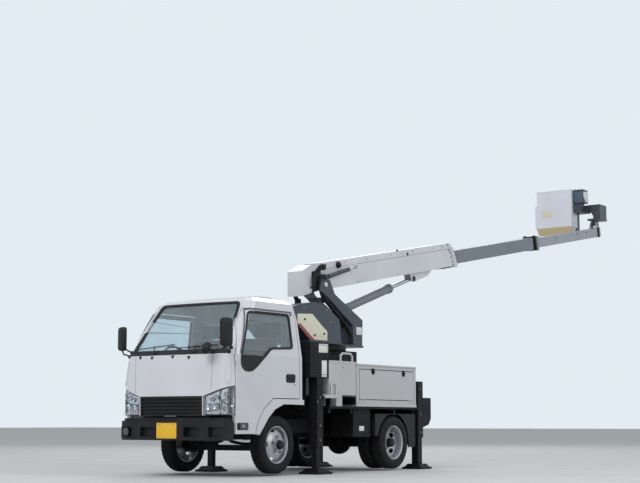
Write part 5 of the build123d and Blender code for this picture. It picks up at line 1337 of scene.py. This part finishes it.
BUCKET_RIM = arc(((-1.066, 11.004), (-0.344, 11.004), (-0.344, 11.256), (-0.524, 11.256), (-0.524, 11.696),
                  (-1.066, 11.696)), 0.05)
RIM_Z = 5.107
RIM_TUBE = 0.012
RIM_SIDES = 10
STRIPS = (((-0.312, 10.998, 4.4), (-0.2985, 11.02, 4.845)), ((-0.352, 10.998, 4.845), (-0.3385, 11.02, 5.09)))
UNDERSIDE = ((-1.05, 11.004, 4.3955), (-0.31, 11.004, 4.3955), (-0.31, 11.122, 4.264), (-1.05, 11.122, 4.264))
UNDER_NORMAL = Vector((0, -0.745, -0.667))
STICKERS = (
    # name, node, corners in pixels, material, proud, slot
    ("bucket_sticker", "bucket", ((542.0, 211.2), (552.6, 210.9), (552.8, 217.8), (542.2, 218.2)),
     "cream_paint", 0.0015, "bucket_shell"),
    ("control_front", "swing_arm", rectangle(573.8, 191.6, 582.4, 202.6),
     "control_blue", 0.003, "turret_paint"),
    ("control_side", "swing_arm", ((583.3, 191.8), (587.4, 192.0), (587.4, 202.2), (583.3, 202.6)),
     "label_film", 0.002, "bucket_shell"),
)
KNOBS = ((-0.25, 11.1), (-0.19, 11.1), (-0.13, 11.12), (-0.22, 11.2), (-0.14, 11.21))
KNOB_FOOT = ((0.016, -0.002), (0.016, 0.004), (0.008, 0.006))
KNOB_HEAD = ((0.008, 0.6), (0.013, 0.75), (0.011, 1))     # radius, share of the height
KNOB_HIGH = 0.018
KNOB_TOP = 5.118
ABOVE = 5.5

sections = []
line = dense(BUCKET_RIM, COARSE)
up = Vector((0, 0, 1))
for i, (u, v) in enumerate(line):
    along = Vector(line[(i + 1) % len(line)]) - Vector(line[i - 1])
    side = Vector((along.x, along.y, 0)).normalized().cross(up)
    sections.append([Vector((u, v, RIM_Z)) + (side * c + up * s) * RIM_TUBE for c, s in circle(RIM_SIDES)])
Piece("bucket_rim", "work_platform", "bucket_shell").skin(sections, closed=True).done()

strip = Piece("bucket_strip", "work_platform", "bucket_shell", "cream_paint")
for low, high in STRIPS:
    strip.box(low, high)
strip.done(0.0015)
for name, node, corners, mat, proud, slot in STICKERS:
    label(name, "work_platform", node, corners, mat, proud, slot)
# The bucket's chamfered underside gets a warm colour that paints the reflected light and shade falling on it
# from below.
sheets = [[Vector(p) + UNDER_NORMAL * lift for p in UNDERSIDE] for lift in (-0.002, 0.0015)]
Piece("bucket_underside", "work_platform", "bucket_shell", "ochre_paint").skin(sheets).done(0.0005)
knobs = Piece("control_knobs", "work_platform")
for x, y in KNOBS:
    p, normal = hit("swing_arm", (x, y, ABOVE), (0, 0, -1))
    top = min(KNOB_HIGH, KNOB_TOP - p.z)
    knobs.turned((*KNOB_FOOT, *[(r, top * share) for r, share in KNOB_HEAD]), p, normal)
knobs.done()


# Floor, background and lamps

FLOOR_HALF = 120.0
FLOOR_TONES = (lin(205, 205, 203), lin(214, 214, 212))
FILL_COLOUR = lin(232, 238, 245)
FILL_STRENGTH = 0.54
BACKDROP = lin(226, 236, 242)
LAMP_SIZE = 9
LAMPS = (
    # name, place, target, power
    ("key", (3, -16, 14), (0, 1, 1.5), 1850),
    ("side", (16, 2, 9), (0, 3, 2), 700),
    ("back", (-9, 16, 12), (0, 5, 3), 650),
)

floor_mesh = bpy.data.meshes.new("floor")
corners = rectangle(-FLOOR_HALF, -FLOOR_HALF, FLOOR_HALF, FLOOR_HALF)
floor_mesh.from_pydata([(x, y, 0) for x, y in corners], [], [(0, 1, 2, 3)])
floor = link(bpy.data.objects.new("floor", floor_mesh))
pale = Nodes("floor_pale")
pale.colour(pale.mix(pale.ramp(pale.noise(1.5, 4), 0.3, 0.7), *FLOOR_TONES))
pale.set(Roughness=0.85)
floor_mesh.materials.append(pale.mat)

world = bpy.data.worlds.new("studio")
bpy.context.scene.world = world
world.use_nodes = True
tree = world.node_tree
tree.nodes.clear()
out = tree.nodes.new("ShaderNodeOutputWorld")
mixer = tree.nodes.new("ShaderNodeMixShader")
for number, colour, strength in ((1, FILL_COLOUR, FILL_STRENGTH), (2, BACKDROP, 1.0)):
    background = tree.nodes.new("ShaderNodeBackground")
    background.inputs["Color"].default_value = colour
    background.inputs["Strength"].default_value = strength
    tree.links.new(background.outputs[0], mixer.inputs[number])
path = tree.nodes.new("ShaderNodeLightPath")
either = path.outputs["Is Camera Ray"]
for ray in ("Is Glossy Ray", "Is Transmission Ray"):
    most = tree.nodes.new("ShaderNodeMath")
    most.operation = "MAXIMUM"
    tree.links.new(either, most.inputs[0])
    tree.links.new(path.outputs[ray], most.inputs[1])
    either = most.outputs[0]
tree.links.new(either, mixer.inputs[0])
tree.links.new(mixer.outputs[0], out.inputs["Surface"])
for name, place, target, power in LAMPS:
    data = bpy.data.lights.new(name, "AREA")
    data.size = LAMP_SIZE
    data.energy = power
    lamp = link(bpy.data.objects.new(name, data))
    lamp.location = place
    lamp.rotation_euler = (Vector(target) - Vector(place)).to_track_quat("-Z", "Y").to_euler()
bpy.context.scene.view_settings.view_transform = "Standard"
